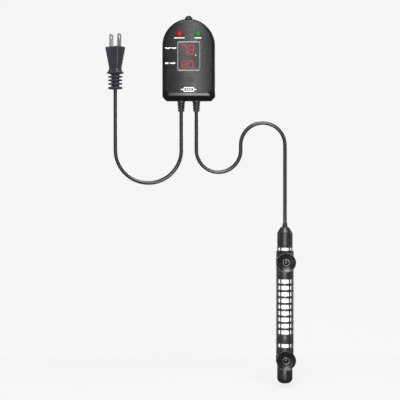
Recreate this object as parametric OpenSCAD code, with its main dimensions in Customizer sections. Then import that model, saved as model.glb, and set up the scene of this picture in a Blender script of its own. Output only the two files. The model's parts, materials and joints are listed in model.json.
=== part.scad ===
// Submersible aquarium heater with an external temperature controller.
// The kit hangs from the keyhole in the back of the controller case. A power cord
// joins the case to a two-blade mains plug, and a second cord drops to the heater,
// a white quartz tube in a slotted guard with two suction cups.
// Millimetres. Origin: keyhole axis, on the back face of the case. +Z is up and
// -Y is the side that faces the viewer.

/* [Controller case] */
// Width of the case
case_w = 64; // [62:1:70]
// Height of the case, without the lug on top
case_h = 98; // [96:1:106]
// Depth of the case, from its back face to its front face
case_d = 27; // [26:1:30]
// Thickness of the case walls
case_wall = 2; // [1.6:0.1:2.4]
// Width of the sloping edge round the front face
edge_w = 3.5; // [2.5:0.5:6]
// Depth of the sloping edge round the front face
edge_d = 4; // [3:0.5:6]
// Height of the keyhole above the bottom of the case
key_h = 84; // [80:1:86]
// Radius of the round opening of the keyhole
key_r = 3.6; // [3:0.1:4]

/* [Controls] */
// Width of the light frame round the display
bezel_w = 28; // [26:0.5:29]
// Height of the light frame round the display
bezel_h = 35.6; // [34:0.2:36]
// Height of the middle of the display above the bottom of the case
display_h = 52.4; // [51:0.2:54]
// Distance of each indicator from the middle of the case
lamp_x = 11.2; // [10:0.2:12]
// Height of the indicators above the bottom of the case
lamp_h = 80; // [79:0.5:81]
// Height of the set button above the bottom of the case
button_h = 24.8; // [23:0.2:26]
// Travel of the set button
button_travel = 0.5; // [0.3:0.1:0.6]

/* [Cords] */
// Radius of both cords
cord_r = 2.3; // [2:0.1:2.4]
// Distance of each cord outlet from the middle of the case
outlet_x = 9.2; // [8.5:0.1:10]
// Length of the moulded boots under the case
boot_len = 13.2; // [11:0.2:15]
// Depth of the cord loops below the bottom of the case, to the centre of the bend
loop_drop = 60; // [50:1:80]

/* [Plug] */
// Distance of the plug from the middle of the case
plug_x = 89.4; // [80:0.2:100]
// Height of the plug's pivot above the bottom of the case
plug_h = 2; // [-5:1:10]
// Turn of the plug about its own cord
plug_turn = -36.5; // [-60:0.5:60]
// Lean of the plug towards the viewer
plug_lean = 0; // [-5:1:20]
// Distance between the middles of the two blades
blade_gap = 12.7; // [12.7:0.1:12.7]
// Length of each blade
blade_len = 16; // [15.9:0.1:18]

/* [Heater] */
// Distance of the heater from the middle of the case
heater_x = 117; // [105:1:140]
// Depth of the heater's lower tip below the bottom of the case
heater_drop = 344; // [335:1:400]
// Outer radius of the guard
guard_r = 9.5; // [9.5:0.1:9.7]
// Inner radius of the guard
guard_bore_r = 8.3; // [8.2:0.05:8.4]
// Outer radius of the quartz tube
tube_r = 7.8; // [7.4:0.1:7.9]
// Number of slots round the guard
slot_columns = 5; // [4:1:6]
// Number of slot rows in the heated part
slot_rows = 9; // [7:1:9]
// Distance from one slot row to the next
slot_pitch = 7.7; // [7:0.1:7.7]
// Height of one slot
slot_h = 5; // [4:0.1:5.2]
// Width of the ribs between slots, as an angle
rib_angle = 8; // [6:1:14]
// Turn of the slot pattern about the heater's axis
slot_turn = -2; // [-15:1:15]

/* [Suction cups] */
// Radius of the suction cups
cup_r = 11.8; // [11:0.1:12.5]
// Travel of a cup as it is pressed on to the glass
cup_travel = 2.5; // [1.5:0.1:2.5]
// Height of the lower cup above the heater's tip
lower_cup_h = 30.4; // [30.4:0.2:31]
// Height of the upper cup above the heater's tip
upper_cup_h = 148.2; // [147.6:0.2:149]

/* [Hidden] */
$fn = 48;

gap = 0.05;                             // clearance between parts that touch
over = 1;                               // how far a cutter runs past a face

arch_r = case_w / 2;                    // radius of the case's arched top
arch_h = case_h - arch_r;               // height of the arch's centre
seam_d = 13;                            // depth of the seam, and of both cords
front_d = case_d - case_wall;           // depth of the front wall's inner face
corner = 5;                             // chamfer at the two bottom corners
foot = [8, 6];                          // height and depth of the slope at the bottom
back_edge = 2.5;                        // chamfer round the back face
lug_r = 4.6;                            // radius of the lug's round top
lug_h = 4.4;                            // height of the lug above the arch
lug_flare = [[4.3, 0.9], [8, -1.1]];    // top and foot of its flare: half width, height on the arch
lug_d = [6, 20];                        // the lug, from back to front

board_d = [15.4, 17];                   // circuit board, back and front faces
board_posts = [[-18, 18], [18, 18], [-19, 70], [19, 70]];
boss_points = [[-26.6, 12.5], [26.6, 12.5], [-21.6, 82], [21.6, 82]];
boss_r = 3.5;
boss_bore_r = 1.45;
screw_r = 1.4;
screw_head_r = 2.7;
small_bore_r = 0.95;
small_screw_r = 0.9;
small_head = [2.1, 1.4];                // radius and thickness of a small screw's head
clamp_h = 8.4;                          // height of the cord clamp
clamp_t = 3;                            // thickness of the cord clamp
clamp_x = 17.5;                         // distance of the clamp's posts from the middle
post_r = 2.6;
boot_r = [4.85, 4];                     // boot radius at the case, and at its end
boot_flange_r = 5.7;
bend_len = 10;                          // free cord between a boot and the cord's pivot

lamp_r = 1.9;                           // corner radius of an indicator's rounded triangle
lamp_corners = [[2.4, -1.9], [0, 2.3], [-2.4, -1.9]];
window = [bezel_w - 3, bezel_h - 3];    // opening of the light frame
bezel_step = 0.6;                       // depth of the frame's seat
window_step = 1.2;                      // depth of the window's seat
button = [12.4, 6.4];                   // width and height of the set button
plunger_r = 1.75;
switch_d = 20.5;                        // front face of the switch
stem_d = 21.55;                         // inner end of the button's stem

power_pivot = [-outlet_x, -seam_d, -key_h - boot_len - bend_len];
lead_pivot = [outlet_x, -seam_d, -key_h - boot_len - bend_len];
plug_pivot = [-plug_x, -seam_d, -key_h + plug_h];
loop_z = -key_h - loop_drop;            // centre height of the cord bends
power_loop_r = (plug_x - outlet_x) / 2;
lead_loop_r = (heater_x - outlet_x) / 4;
drape_rise = 6;                         // how much higher the second bend of the heater cord is
tip_z = -key_h - heater_drop;           // lower tip of the heater

cap_r = guard_r - 0.2;                  // radius of the two end caps
guard_z = [22, 167];                    // guard, between the caps
shoulder_h = 184.3;                     // where the top cap starts to taper
neck_h = 190.5;                         // where the boot leaves the top cap
heater_h = 195;                         // end of the heater's boot
pivot_h = heater_h + 12;                // pivot of the heater on its cord
rail_r = guard_r + 1.1;                 // outer edge of the two side rails
first_slot_h = 62.8;                    // middle of the lowest of the heated slots
end_slots = [[46.5, 4.4], [163.6, 3.4]];  // the two single slot rows: middle, height
neck_r = guard_r - 0.3;                 // guard radius under a cup clip
clip_h = 9.2;                           // height of a cup clip
clip_r = [neck_r + gap, neck_r + 1.6];  // cup clip, inner and outer radius
clip_boss_r = clip_h / 2;
clip_face = 15;                         // distance of a clip's face from the heater's axis
clip_skin = 1.2;                        // thickness of that face
cup_neck_r = 2;
cup_head_r = 3.2;
cup_back = clip_face + cup_travel + 0.1;  // back of the cup's bell
cup_lip = 23;                           // distance of the lip from the heater's axis
tube_wall = 1;
tube_top = 178;
tube_tip = 8;
core_r = 6.4;
core_z = [26, 150];
coil_circle = 3.5;                      // radius of the circle that the coils stand on
coil_bore_r = 1.6;
wire_circle = 1.15;                     // radius of the circle that the cord's cores stand on
spigot = 5;                             // how far the guard reaches into each end cap
spigot_r = guard_bore_r + 0.55;

wire_xs = [-outlet_x - 1.4, -outlet_x + 1.4, outlet_x - 1.4, outlet_x + 1.4];
block_h = 22;                           // height of the terminal block
stub_top = 12.8;                        // where the cords end inside the case

relief_h = 12;                          // start of the plug's ribbed strain relief
collar_h = 30.9;                        // collar between strain relief and grip
waist_h = 37;                           // narrowest part of the grip
plug_face = 63.4;                       // face that the blades leave
waist = [14, 10];                       // width and thickness there
waist_r = 2;                            // corner radius there
grip = [21, 14.6];                      // width and thickness at the face
grip_r = 1.2;                           // corner radius at the face
ribs = [[13.4, 2.8], [18.4, 2], [22.7, 2], [27, 2]];  // middle and thickness of each rib
insert = [15.8, 7.6];                   // width and thickness of the plug's inner block
insert_h = [54, 60.5];
blade = [1.5, 6.35];                    // thickness and width of a blade
blade_hole_h = 11.9;                    // distance of a blade's hole from the plug's face

slot_list = concat([end_slots[0]],  // every slot row: middle, height
                   [for (i = [0:slot_rows - 1]) [first_slot_h + i * slot_pitch, slot_h]],
                   [end_slots[1]]);

// ---------------------------------------------------------------- places

module at_case() { translate([0, 0, -key_h]) children(); }

module at_heater() { translate([heater_x, -seam_d, tip_z]) children(); }

module at_plug() { translate(plug_pivot) rotate([plug_lean, 0, 0]) rotate([0, 0, plug_turn]) children(); }

// Turns a shape drawn in XY with its thickness along Z so that it faces the viewer,
// between depths d0 and d1 in front of the wall.
module facing(d0, d1) {
    translate([0, -d0, 0])
        rotate([90, 0, 0])
            linear_extrude(d1 - d0) children();
}

module pin_facing(p, r, d0, d1) {
    facing(d0, d1) translate(p) circle(r);
}

// ---------------------------------------------------------------- shared shapes

module round_rect(w, h, r) {
    square([w - 2 * r, h], center = true);
    square([w, h - 2 * r], center = true);
    for (x = [-1, 1])
        for (y = [-1, 1])
            translate([x * (w / 2 - r), y * (h / 2 - r)]) circle(r);
}

module pill(w, h) {
    square([w - h, h], center = true);
    for (x = [-1, 1]) translate([x * (w - h) / 2, 0]) circle(h / 2);
}

// Rounded triangle: an arc round each corner, between the normals of the sides that meet there.
module lamp_outline(grow) {
    lean = atan2(lamp_corners[1][0] - lamp_corners[0][0], lamp_corners[1][1] - lamp_corners[0][1]);
    turns = [-90, -lean, 180 + lean, 270];
    steps = 8;
    polygon([for (k = [0:2])
                 for (i = [0:steps])
                     let (t = turns[k] + (turns[k + 1] - turns[k]) * i / steps)
                         lamp_corners[k] + (lamp_r + grow) * [cos(t), sin(t)]]);
}

module tube(r_out, r_in, z0, z1) {
    translate([0, 0, z0])
        difference() {
            cylinder(r = r_out, h = z1 - z0);
            translate([0, 0, -over]) cylinder(r = r_in, h = z1 - z0 + 2 * over);
        }
}

module rod(r, z0, z1) { translate([0, 0, z0]) cylinder(r = r, h = z1 - z0); }

// A pan-head screw that enters along +depth at p, with its head under depth d0.
module screw_facing(p, r, head_r, head_h, d0, length) {
    pin_facing(p, head_r, d0, d0 + head_h);
    pin_facing(p, r, d0 + head_h, d0 + head_h + length);
}

// A quarter or half turn of cord in the XZ plane, about the origin.
module cord_bend(loop_r, from, sweep) {
    rotate([90, 0, 0])
        rotate([0, 0, from])
            rotate_extrude(angle = sweep) translate([loop_r, 0]) circle(cord_r);
}

// ---------------------------------------------------------------- case

// Half of the case's cross-section, as [distance from the middle, depth].
function case_section(inset) = [
    [0, inset], [arch_r - back_edge - inset, inset],
    [arch_r - inset, back_edge + inset], [arch_r - inset, case_d - edge_d - inset],
    [arch_r - edge_w - inset, case_d - inset], [0, case_d - inset],
];

// The solid that the case fills, shrunk on every side by inset.
module case_form(inset) {
    half = case_section(inset);
    translate([0, 0, arch_h])
        rotate([90, 0, 0])
            rotate_extrude(angle = 180) polygon(half);
    intersection() {
        translate([0, 0, inset])
            linear_extrude(arch_h - inset)
                polygon(concat([for (p = half) [p[0], -p[1]]],
                               [for (i = [len(half) - 1:-1:0]) [-half[i][0], -half[i][1]]]));
        translate([-case_w, 0, 0])
            rotate([90, 0, 90])
                linear_extrude(2 * case_w)
                    polygon([[0, back_edge + inset], [-back_edge - inset, inset],
                             [-case_d + foot[1] + inset, inset], [-case_d + inset, foot[0] + inset],
                             [-case_d, case_h], [0, case_h]]);
        facing(-over, case_d + over)
            polygon([[-arch_r + corner, inset], [arch_r - corner, inset],
                     [arch_r - inset, corner], [arch_r - inset, case_h],
                     [-arch_r + inset, case_h], [-arch_r + inset, corner]]);
    }
}

module half_space(d0, d1) {
    translate([-case_w, -d1, -over]) cube([2 * case_w, d1 - d0, 2 * case_h]);
}

module lug_outline() {
    top = lug_flare[0];
    foot_end = lug_flare[1];
    translate([0, case_h + lug_h - lug_r]) circle(lug_r);
    translate([0, case_h])
        polygon([[-foot_end[0], foot_end[1]], foot_end, top, [-top[0], top[1]]]);
}

module case_half(d0, d1) {
    difference() {
        union() {
            intersection() {
                case_form(0);
                half_space(d0, d1);
            }
            facing(max(d0, lug_d[0]), min(d1, lug_d[1])) lug_outline();
        }
        case_form(case_wall);
        for (x = [-outlet_x, outlet_x])
            translate([x, -seam_d, -over]) cylinder(r = boot_r[1] + 2 * gap, h = case_wall + 2 * over);
    }
}

// Thin tongue on the front shell that fits inside the back shell's rim.
module seam_tongue() {
    depth = 2;
    difference() {
        union() {
            intersection() {
                case_form(case_wall + 0.1);
                half_space(seam_d - depth, seam_d + 0.5);
            }
            intersection() {
                case_form(case_wall - 0.3);
                half_space(seam_d, seam_d + depth);
            }
        }
        case_form(case_wall + 1.1);
        for (p = boss_points) pin_facing(p, boss_r + 0.6, seam_d - depth - over, seam_d);
        translate([-outlet_x - boot_flange_r - 1, -seam_d - depth - over, 0])
            cube([2 * (outlet_x + boot_flange_r + 1), 2 * (depth + over), 10]);
    }
}

module front_posts() {
    for (p = boss_points) pin_facing(p, boss_r, seam_d, case_d);
    for (p = board_posts) pin_facing(p, post_r, board_d[1] + gap, case_d);
    for (x = [-clamp_x, clamp_x]) pin_facing([x, clamp_h], post_r, seam_d - cord_r, case_d);
}

module front_bores() {
    for (p = boss_points) pin_facing(p, boss_bore_r, seam_d - over, front_d - 2);
    for (p = board_posts) pin_facing(p, small_bore_r, board_d[1] - over, front_d - 2);
    for (x = [-clamp_x, clamp_x])
        pin_facing([x, clamp_h], small_bore_r, seam_d - cord_r - over, front_d - 6);
}

module front_openings() {
    translate([0, 0, display_h]) {
        facing(case_d - bezel_step, case_d + over) round_rect(bezel_w + 2 * gap, bezel_h + 2 * gap, 2.2);
        facing(case_d - window_step, case_d) round_rect(window[0], window[1], 1.2);
        facing(front_d - over, case_d) square([window[0] - 2.6, window[1] - 2.6], center = true);
    }
    for (x = [-lamp_x, lamp_x])
        translate([x, 0, lamp_h])
            facing(front_d - over, case_d + over) lamp_outline(gap);
    translate([0, 0, button_h])
        facing(front_d - over, case_d + over) pill(button[0] + 4 * gap, button[1] + 4 * gap);
}

module front_shell() {
    color([0.07, 0.07, 0.075])
        at_case()
            difference() {
                union() {
                    case_half(seam_d, case_d);
                    seam_tongue();
                    intersection() {
                        front_posts();
                        case_form(case_wall / 2);
                    }
                }
                front_bores();
                front_openings();
            }
}

module keyhole_slot(r, slot_r, length) {
    circle(r);
    translate([-slot_r, 0]) square([2 * slot_r, length]);
    translate([0, length]) circle(slot_r);
}

module back_shell() {
    slot_len = 7;
    pocket_d = 5;
    pocket_r = key_r + 0.6;
    pocket_wall = 1.4;
    color([0.065, 0.065, 0.07])
        at_case()
            difference() {
                union() {
                    case_half(0, seam_d - gap);
                    for (p = boss_points) pin_facing(p, boss_r + 0.4, 1, seam_d - gap);
                    translate([0, 0, key_h])
                        facing(1, pocket_d + pocket_wall)
                            keyhole_slot(pocket_r + pocket_wall, pocket_r + pocket_wall, slot_len);
                }
                for (p = boss_points) {
                    pin_facing(p, screw_r + 0.2, -over, seam_d + over);
                    pin_facing(p, screw_head_r + 0.2, -over, 4);
                }
                translate([0, 0, key_h]) {
                    facing(-over, case_wall + gap) keyhole_slot(key_r, 2, slot_len);
                    facing(case_wall, pocket_d) keyhole_slot(pocket_r, pocket_r, slot_len);
                }
            }
}

module case_screws() {
    color([0.75, 0.75, 0.77])
        at_case() for (p = boss_points) screw_facing(p, screw_r, screw_head_r, 1.9, 2.05, 15);
}

// ---------------------------------------------------------------- front of the case

module display_bezel() {
    color([0.72, 0.74, 0.74])
        at_case()
            translate([0, 0, display_h])
                facing(case_d - bezel_step + gap, case_d + 0.35)
                    difference() {
                        round_rect(bezel_w, bezel_h, 2.2);
                        round_rect(window[0], window[1], 1.2);
                    }
}

module display_window() {
    color([0.25, 0.2, 0.2, 0.5])
        at_case()
            translate([0, 0, display_h])
                facing(case_d - window_step + gap, case_d + 0.1)
                    round_rect(window[0] - 2 * gap, window[1] - 2 * gap, 1.15);
}

module display_module() {
    color([0.1, 0.1, 0.1])
        at_case()
            translate([0, 0, display_h])
                facing(board_d[1] + gap, front_d - gap)
                    square([window[0] - 3, window[1] - 3], center = true);
}

// Rounded triangular lens with a flange that holds it behind the front wall.
module lamp_lens(x) {
    at_case()
        translate([x, 0, lamp_h]) {
            facing(front_d - gap, case_d + 0.5) lamp_outline(0);
            facing(front_d - 1, front_d - gap) lamp_outline(1);
        }
}

module heating_lens() { color([0.85, 0.05, 0.08]) lamp_lens(-lamp_x); }

module power_lens() { color([0.15, 0.6, 0.25]) lamp_lens(lamp_x); }

module lamp_led(x) {
    at_case()
        translate([x, -board_d[1] - gap, lamp_h])
            rotate([90, 0, 0]) {
                cylinder(r = 2.9, h = 1);
                cylinder(r = 2.5, h = 4);
                translate([0, 0, 4]) sphere(2.5);
            }
}

module heating_led() { color([0.9, 0.3, 0.3]) lamp_led(-lamp_x); }

module power_led() { color([0.3, 0.8, 0.4]) lamp_led(lamp_x); }

module set_button() {
    color([0.1, 0.1, 0.105])
        at_case()
            translate([0, 0, button_h]) {
                facing(front_d - gap, case_d + 0.5) pill(button[0], button[1]);
                facing(front_d - 1, front_d - gap) pill(button[0] + 1.8, button[1] + 1.8);
                facing(stem_d, front_d - 1) circle(1.6);
            }
}

module switch_plunger() {
    color([0.85, 0.82, 0.7])
        at_case() pin_facing([0, button_h], plunger_r, switch_d - 0.9, stem_d - gap);
}

module switch_body() {
    color([0.15, 0.15, 0.15])
        at_case()
            difference() {
                translate([0, 0, button_h])
                    facing(board_d[1] + gap, switch_d) square(6.2, center = true);
                pin_facing([0, button_h], plunger_r + gap, switch_d - 1.6, switch_d + over);
            }
}

// ---------------------------------------------------------------- inside the case

module board_outline() {
    difference() {
        union() {
            translate([-22, 13]) square([44, arch_h - 13]);
            translate([0, 62]) circle(25);
        }
        for (p = board_posts) translate(p) circle(1.3);
    }
}

module circuit_board() {
    color([0.05, 0.35, 0.15]) at_case() facing(board_d[0], board_d[1]) board_outline();
}

module board_screws() {
    color([0.78, 0.76, 0.6])
        at_case()
            for (p = board_posts) screw_facing(p, small_screw_r, small_head[0], small_head[1],
                             board_d[0] - small_head[1] - gap, 6);
}

// A component of the given width, height and thickness that stands on the board's back.
module component(p, size) {
    at_case()
        translate([p[0], 0, p[1]])
            facing(board_d[0] - gap - size[2], board_d[0] - gap)
                square([size[0], size[1]], center = true);
}

module power_relay() { color([0.1, 0.3, 0.7]) component([-8.2, 62], [15.5, 19.5, 12]); }

module transformer() {
    core = [9.6, 60];
    color([0.85, 0.7, 0.15]) {
        component(core, [17, 7, 12]);
        component(core, [12, 15, 10]);
    }
}

module electrolytic_capacitor() {
    color([0.1, 0.1, 0.35])
        at_case() pin_facing([13, 45.5], 5, board_d[0] - 12, board_d[0] - gap);
}

module film_capacitor() { color([0.75, 0.65, 0.1]) component([-11.5, 46], [15, 6.5, 11]); }

// Glass tube fuse in two spring clips.
module fuse() {
    at_case()
        translate([0, -(board_d[0] - 4.2), 34.5])
            rotate([0, 90, 0]) {
                color([0.85, 0.9, 0.9]) cylinder(r = 2.3, h = 12, center = true);
                color([0.8, 0.8, 0.8])
                    for (z = [-8, 8]) translate([0, 0, z]) cylinder(r = 2.6, h = 4.4, center = true);
            }
    color([0.8, 0.8, 0.8])
        for (x = [-8, 8]) component([x, 34.5], [3, 5, 2.4]);
}

module control_chip() { color([0.12, 0.12, 0.12]) component([0.5, 46], [6.5, 9, 1.6]); }

// Four-pole block, with a wire hole in its underside for each pole.
module terminal_block() {
    color([0.1, 0.5, 0.25])
        difference() {
            component([0, block_h], [30, 8, 10]);
            for (x = wire_xs)
                translate([x, -seam_d, -key_h + block_h - 4 - over]) cylinder(r = 0.9, h = 4 + over);
            for (x = wire_xs)
                at_case() pin_facing([x, block_h], 1.1, board_d[0] - 11, board_d[0] - 6);
        }
}

// Straight insulated wires from a cord's cut end up into the terminal block.
module block_wires(xs) {
    for (x = xs) translate([x, -seam_d, -key_h]) rod(0.75, stub_top + 0.2, block_h - 1.5);
}

module mains_wires() { color([0.45, 0.25, 0.12]) block_wires([wire_xs[0], wire_xs[1]]); }

module heater_wires() { color([0.15, 0.25, 0.65]) block_wires([wire_xs[2], wire_xs[3]]); }

module cord_clamp() {
    color([0.9, 0.9, 0.88])
        at_case()
            difference() {
                translate([0, 0, clamp_h])
                    facing(seam_d - cord_r - clamp_t, seam_d - cord_r - gap)
                        pill(2 * clamp_x + 6, 5.4);
                for (x = [-clamp_x, clamp_x])
                    pin_facing([x, clamp_h], 1.2, seam_d - cord_r - clamp_t - over, seam_d);
            }
}

module clamp_screws() {
    color([0.78, 0.76, 0.6])
        at_case()
            for (x = [-clamp_x, clamp_x])
                screw_facing([x, clamp_h], small_screw_r, small_head[0], small_head[1],
                             seam_d - cord_r - clamp_t - small_head[1] - gap, 8);
}

// ---------------------------------------------------------------- cords and boots

// Radius of a boot at a share t of its length.
function boot_radius(t) = boot_r[0] + (boot_r[1] - boot_r[0]) * t;

// Boot with three grooves and a flange that sits behind the bottom wall.
module case_boot() {
    difference() {
        union() {
            translate([0, 0, -boot_len]) cylinder(r1 = boot_r[1], r2 = boot_r[0], h = boot_len - gap);
            translate([0, 0, -1]) cylinder(r = boot_r[1], h = case_wall + 1.6);
            translate([0, 0, case_wall + gap]) cylinder(r = boot_flange_r, h = 1.8);
        }
        translate([0, 0, -boot_len - over]) cylinder(r = cord_r + gap, h = boot_len + 8);
        for (t = [0.3, 0.55, 0.8])
            translate([0, 0, -boot_len * t]) tube(boot_radius(t) + 1, boot_radius(t) - 0.8, -0.7, 0.7);
    }
}

module power_cord_boot() {
    color([0.05, 0.05, 0.055]) at_case() translate([-outlet_x, -seam_d, 0]) case_boot();
}

module heater_cord_boot() {
    color([0.05, 0.05, 0.055]) at_case() translate([outlet_x, -seam_d, 0]) case_boot();
}

// Cord from inside the case, through a boot, to just short of its pivot.
module cord_stub(pivot) {
    start = pivot[2] + cord_r + 0.1;
    color([0.04, 0.04, 0.045])
        translate([pivot[0], pivot[1], 0]) rod(cord_r, start, -key_h + stub_top);
}

module power_cord_inlet() { cord_stub(power_pivot); }

module heater_cord_outlet() { cord_stub(lead_pivot); }

// Starts at the pivot with a round end, loops under and rises to the plug.
module power_cord() {
    color([0.04, 0.04, 0.045]) {
        translate(power_pivot) sphere(cord_r);
        translate([-outlet_x, -seam_d, 0]) rod(cord_r, loop_z, power_pivot[2]);
        translate([-outlet_x - power_loop_r, -seam_d, loop_z]) cord_bend(power_loop_r, 180, 180);
        translate([-plug_x, -seam_d, 0]) rod(cord_r, loop_z, plug_pivot[2] - cord_r - 0.1);
    }
}

// Drip loop first, then a drape over the rim of the tank, then straight down.
module heater_cord() {
    color([0.04, 0.04, 0.045]) {
        translate(lead_pivot) sphere(cord_r);
        translate([outlet_x, -seam_d, 0]) rod(cord_r, loop_z, lead_pivot[2]);
        translate([outlet_x + lead_loop_r, -seam_d, loop_z]) cord_bend(lead_loop_r, 180, 180);
        translate([outlet_x + 2 * lead_loop_r, -seam_d, 0]) rod(cord_r, loop_z, loop_z + drape_rise);
        translate([outlet_x + 3 * lead_loop_r, -seam_d, loop_z + drape_rise])
            cord_bend(lead_loop_r, 0, 180);
        translate([heater_x, -seam_d, 0])
            rod(cord_r, tip_z + pivot_h + cord_r + 0.1, loop_z + drape_rise);
    }
}

// ---------------------------------------------------------------- plug

// Both blades' cross-sections, widened on every side by room.
module blade_pair(room) {
    for (x = [-1, 1])
        translate([x * blade_gap / 2, 0]) square([blade[0] + 2 * room, blade[1] + 2 * room], center = true);
}

// Slab of the plug's grip: a rounded rectangle of the given width and thickness.
module grip_slab(size, r, z, h) {
    translate([0, 0, z]) linear_extrude(h) round_rect(size[0], size[1], r);
}

module plug_body() {
    core = [9.6, 8.2];
    core_r = 3;
    rib = [16, 11.6];
    collar = [18.6, 13.4];
    ring_r = 2.5;
    color([0.06, 0.06, 0.07])
        at_plug()
            difference() {
                union() {
                    hull() {
                        grip_slab(waist, waist_r, waist_h, 1);
                        grip_slab(grip, grip_r, plug_face - 1, 1);
                    }
                    hull() {
                        grip_slab(waist, waist_r, waist_h, 1);
                        grip_slab(collar, ring_r, collar_h, 1.4);
                    }
                    grip_slab(core, core_r, relief_h, collar_h - relief_h + 1);
                    for (r = ribs) grip_slab(rib, ring_r, r[0] - r[1] / 2, r[1]);
                }
                rod(cord_r + gap, relief_h - over, insert_h[0]);
                translate([0, 0, insert_h[0] - gap])
                    linear_extrude(insert_h[1] - insert_h[0] + 2 * gap)
                        square([insert[0] + 2 * gap, insert[1] + 2 * gap], center = true);
                translate([0, 0, insert_h[1] - 1]) linear_extrude(plug_face) blade_pair(gap);
            }
}

// Hard inner block that both blades are moulded into.
module plug_insert() {
    color([0.92, 0.92, 0.9])
        at_plug()
            translate([0, 0, insert_h[0]])
                linear_extrude(insert_h[1] - insert_h[0])
                    difference() {
                        square(insert, center = true);
                        blade_pair(gap);
                    }
}

module plug_blades() {
    tip = plug_face + blade_len;
    half_w = blade[1] / 2;
    bevel = [1.25, 1.8];
    color([0.78, 0.77, 0.72])
        at_plug()
            for (x = [-1, 1])
                translate([x * blade_gap / 2 - blade[0] / 2, 0, 0])
                    rotate([90, 0, 90])
                        linear_extrude(blade[0])
                            difference() {
                                polygon([[-half_w, insert_h[0] + 0.5], [half_w, insert_h[0] + 0.5],
                                         [half_w, tip - bevel[1]], [half_w - bevel[0], tip],
                                         [bevel[0] - half_w, tip], [-half_w, tip - bevel[1]]]);
                                translate([0, plug_face + blade_hole_h]) circle(1.95);
                            }
}

module plug_cord_end() {
    color([0.04, 0.04, 0.045])
        at_plug() {
            sphere(cord_r);
            rod(cord_r, 0, insert_h[0] - 0.5);
        }
}

// ---------------------------------------------------------------- heater

module heater_cord_end() {
    color([0.04, 0.04, 0.045])
        at_heater() {
            rod(cord_r, 183, pivot_h);
            translate([0, 0, pivot_h]) sphere(cord_r);
        }
}

module heater_boot() {
    color([0.05, 0.05, 0.055])
        at_heater()
            difference() {
                union() {
                    translate([0, 0, 187]) cylinder(r1 = 3.7, r2 = 3.1, h = heater_h - 187);
                    rod(6, 184.4, 186.2);
                    rod(3.7, 184.4, 187.2);
                }
                rod(cord_r + gap, 180, heater_h + over);
                for (z = [192, 193.7]) tube(5, 2.8, z - 0.35, z + 0.35);
            }
}

// Half-section of the cap, as [radius, height].
module top_cap() {
    socket_r = spigot_r + gap;
    flange_r = 6.2;
    boot_hole_r = 3.75;
    flange_top = 186.3;
    color([0.1, 0.1, 0.105])
        at_heater()
            rotate_extrude()
                polygon([[guard_bore_r, guard_z[1] + spigot + 0.1], [guard_bore_r, 182],
                         [flange_r, shoulder_h], [flange_r, flange_top], [boot_hole_r, flange_top],
                         [boot_hole_r, neck_h], [4.6, neck_h], [5.4, neck_h - 0.8],
                         [cap_r - 1.6, shoulder_h + 0.6], [cap_r - 0.4, shoulder_h - 0.6],
                         [cap_r, shoulder_h - 2], [cap_r, guard_z[1] + gap],
                         [socket_r, guard_z[1] + gap], [socket_r, guard_z[1] + spigot + 0.1]]);
}

module bottom_cap() {
    round_r = 6.5;
    floor_h = 4.1;
    color([0.08, 0.08, 0.085])
        at_heater()
            rotate_extrude()
                difference() {
                    union() {
                        translate([0, round_r]) square([cap_r, guard_z[0] - gap - round_r]);
                        square([cap_r - round_r, round_r + 1]);
                        intersection() {
                            translate([cap_r - round_r, round_r]) circle(round_r);
                            square([cap_r, 2 * round_r]);
                        }
                    }
                    translate([-over, floor_h]) square([guard_bore_r + over, guard_z[0]]);
                    translate([-over, guard_z[0] - spigot - 0.1])
                        square([spigot_r + gap + over, spigot + 1]);
                }
}

// Cutter for one slot, between angles -width / 2 and width / 2 from the direction a.
module slot_cutter(a, width, z, h) {
    r0 = guard_bore_r - 3;
    r1 = guard_r + 2;
    t = tan(width / 2);
    translate([0, 0, z - h / 2])
        rotate([0, 0, a - 90])
            linear_extrude(h) polygon([[r0, -r0 * t], [r1, -r1 * t], [r1, r1 * t], [r0, r0 * t]]);
}

// Slotted tube with a spigot at each end, two side rails and a neck for each clip.
module guard_cage() {
    rail_w = 2.2;
    rail_from = guard_r - 0.6;
    rail_z = [36, guard_z[1] - 6];
    rest = 0.3;
    step = 360 / slot_columns;
    color([0.06, 0.06, 0.065])
        at_heater()
            difference() {
                union() {
                    difference() {
                        tube(guard_r, guard_bore_r, guard_z[0], guard_z[1]);
                        for (s = slot_list)
                            for (k = [0:slot_columns - 1])
                                slot_cutter(slot_turn + k * step, step - rib_angle, s[0], s[1]);
                    }
                    tube(spigot_r, guard_bore_r, guard_z[0] - spigot, guard_z[0] + 0.5);
                    tube(spigot_r, guard_bore_r, guard_z[1] - 0.5, guard_z[1] + spigot);
                    for (side = [-1, 1])
                        translate([side * (rail_r + rail_from) / 2, 0, (rail_z[0] + rail_z[1]) / 2])
                            cube([rail_r - rail_from, rail_w, rail_z[1] - rail_z[0]], center = true);
                }
                for (z = [lower_cup_h, upper_cup_h])
                    tube(guard_r + 3, neck_r, z - clip_h / 2 - rest, z + clip_h / 2 + rest);
            }
}

module quartz_tube() {
    bulb_h = tube_tip + tube_r;
    color([0.95, 0.95, 0.94])
        at_heater()
            difference() {
                union() {
                    rod(tube_r, bulb_h, tube_top);
                    translate([0, 0, bulb_h]) sphere(tube_r);
                }
                rod(tube_r - tube_wall, bulb_h, tube_top + over);
                translate([0, 0, bulb_h]) sphere(tube_r - tube_wall);
            }
}

module ceramic_core() {
    color([0.93, 0.91, 0.85])
        at_heater()
            difference() {
                rod(core_r, core_z[0], core_z[1]);
                for (k = [0:3])
                    rotate([0, 0, 45 + 90 * k])
                        translate([coil_circle, 0, 0]) rod(coil_bore_r, core_z[0] - over, core_z[1] + over);
            }
}

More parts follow.
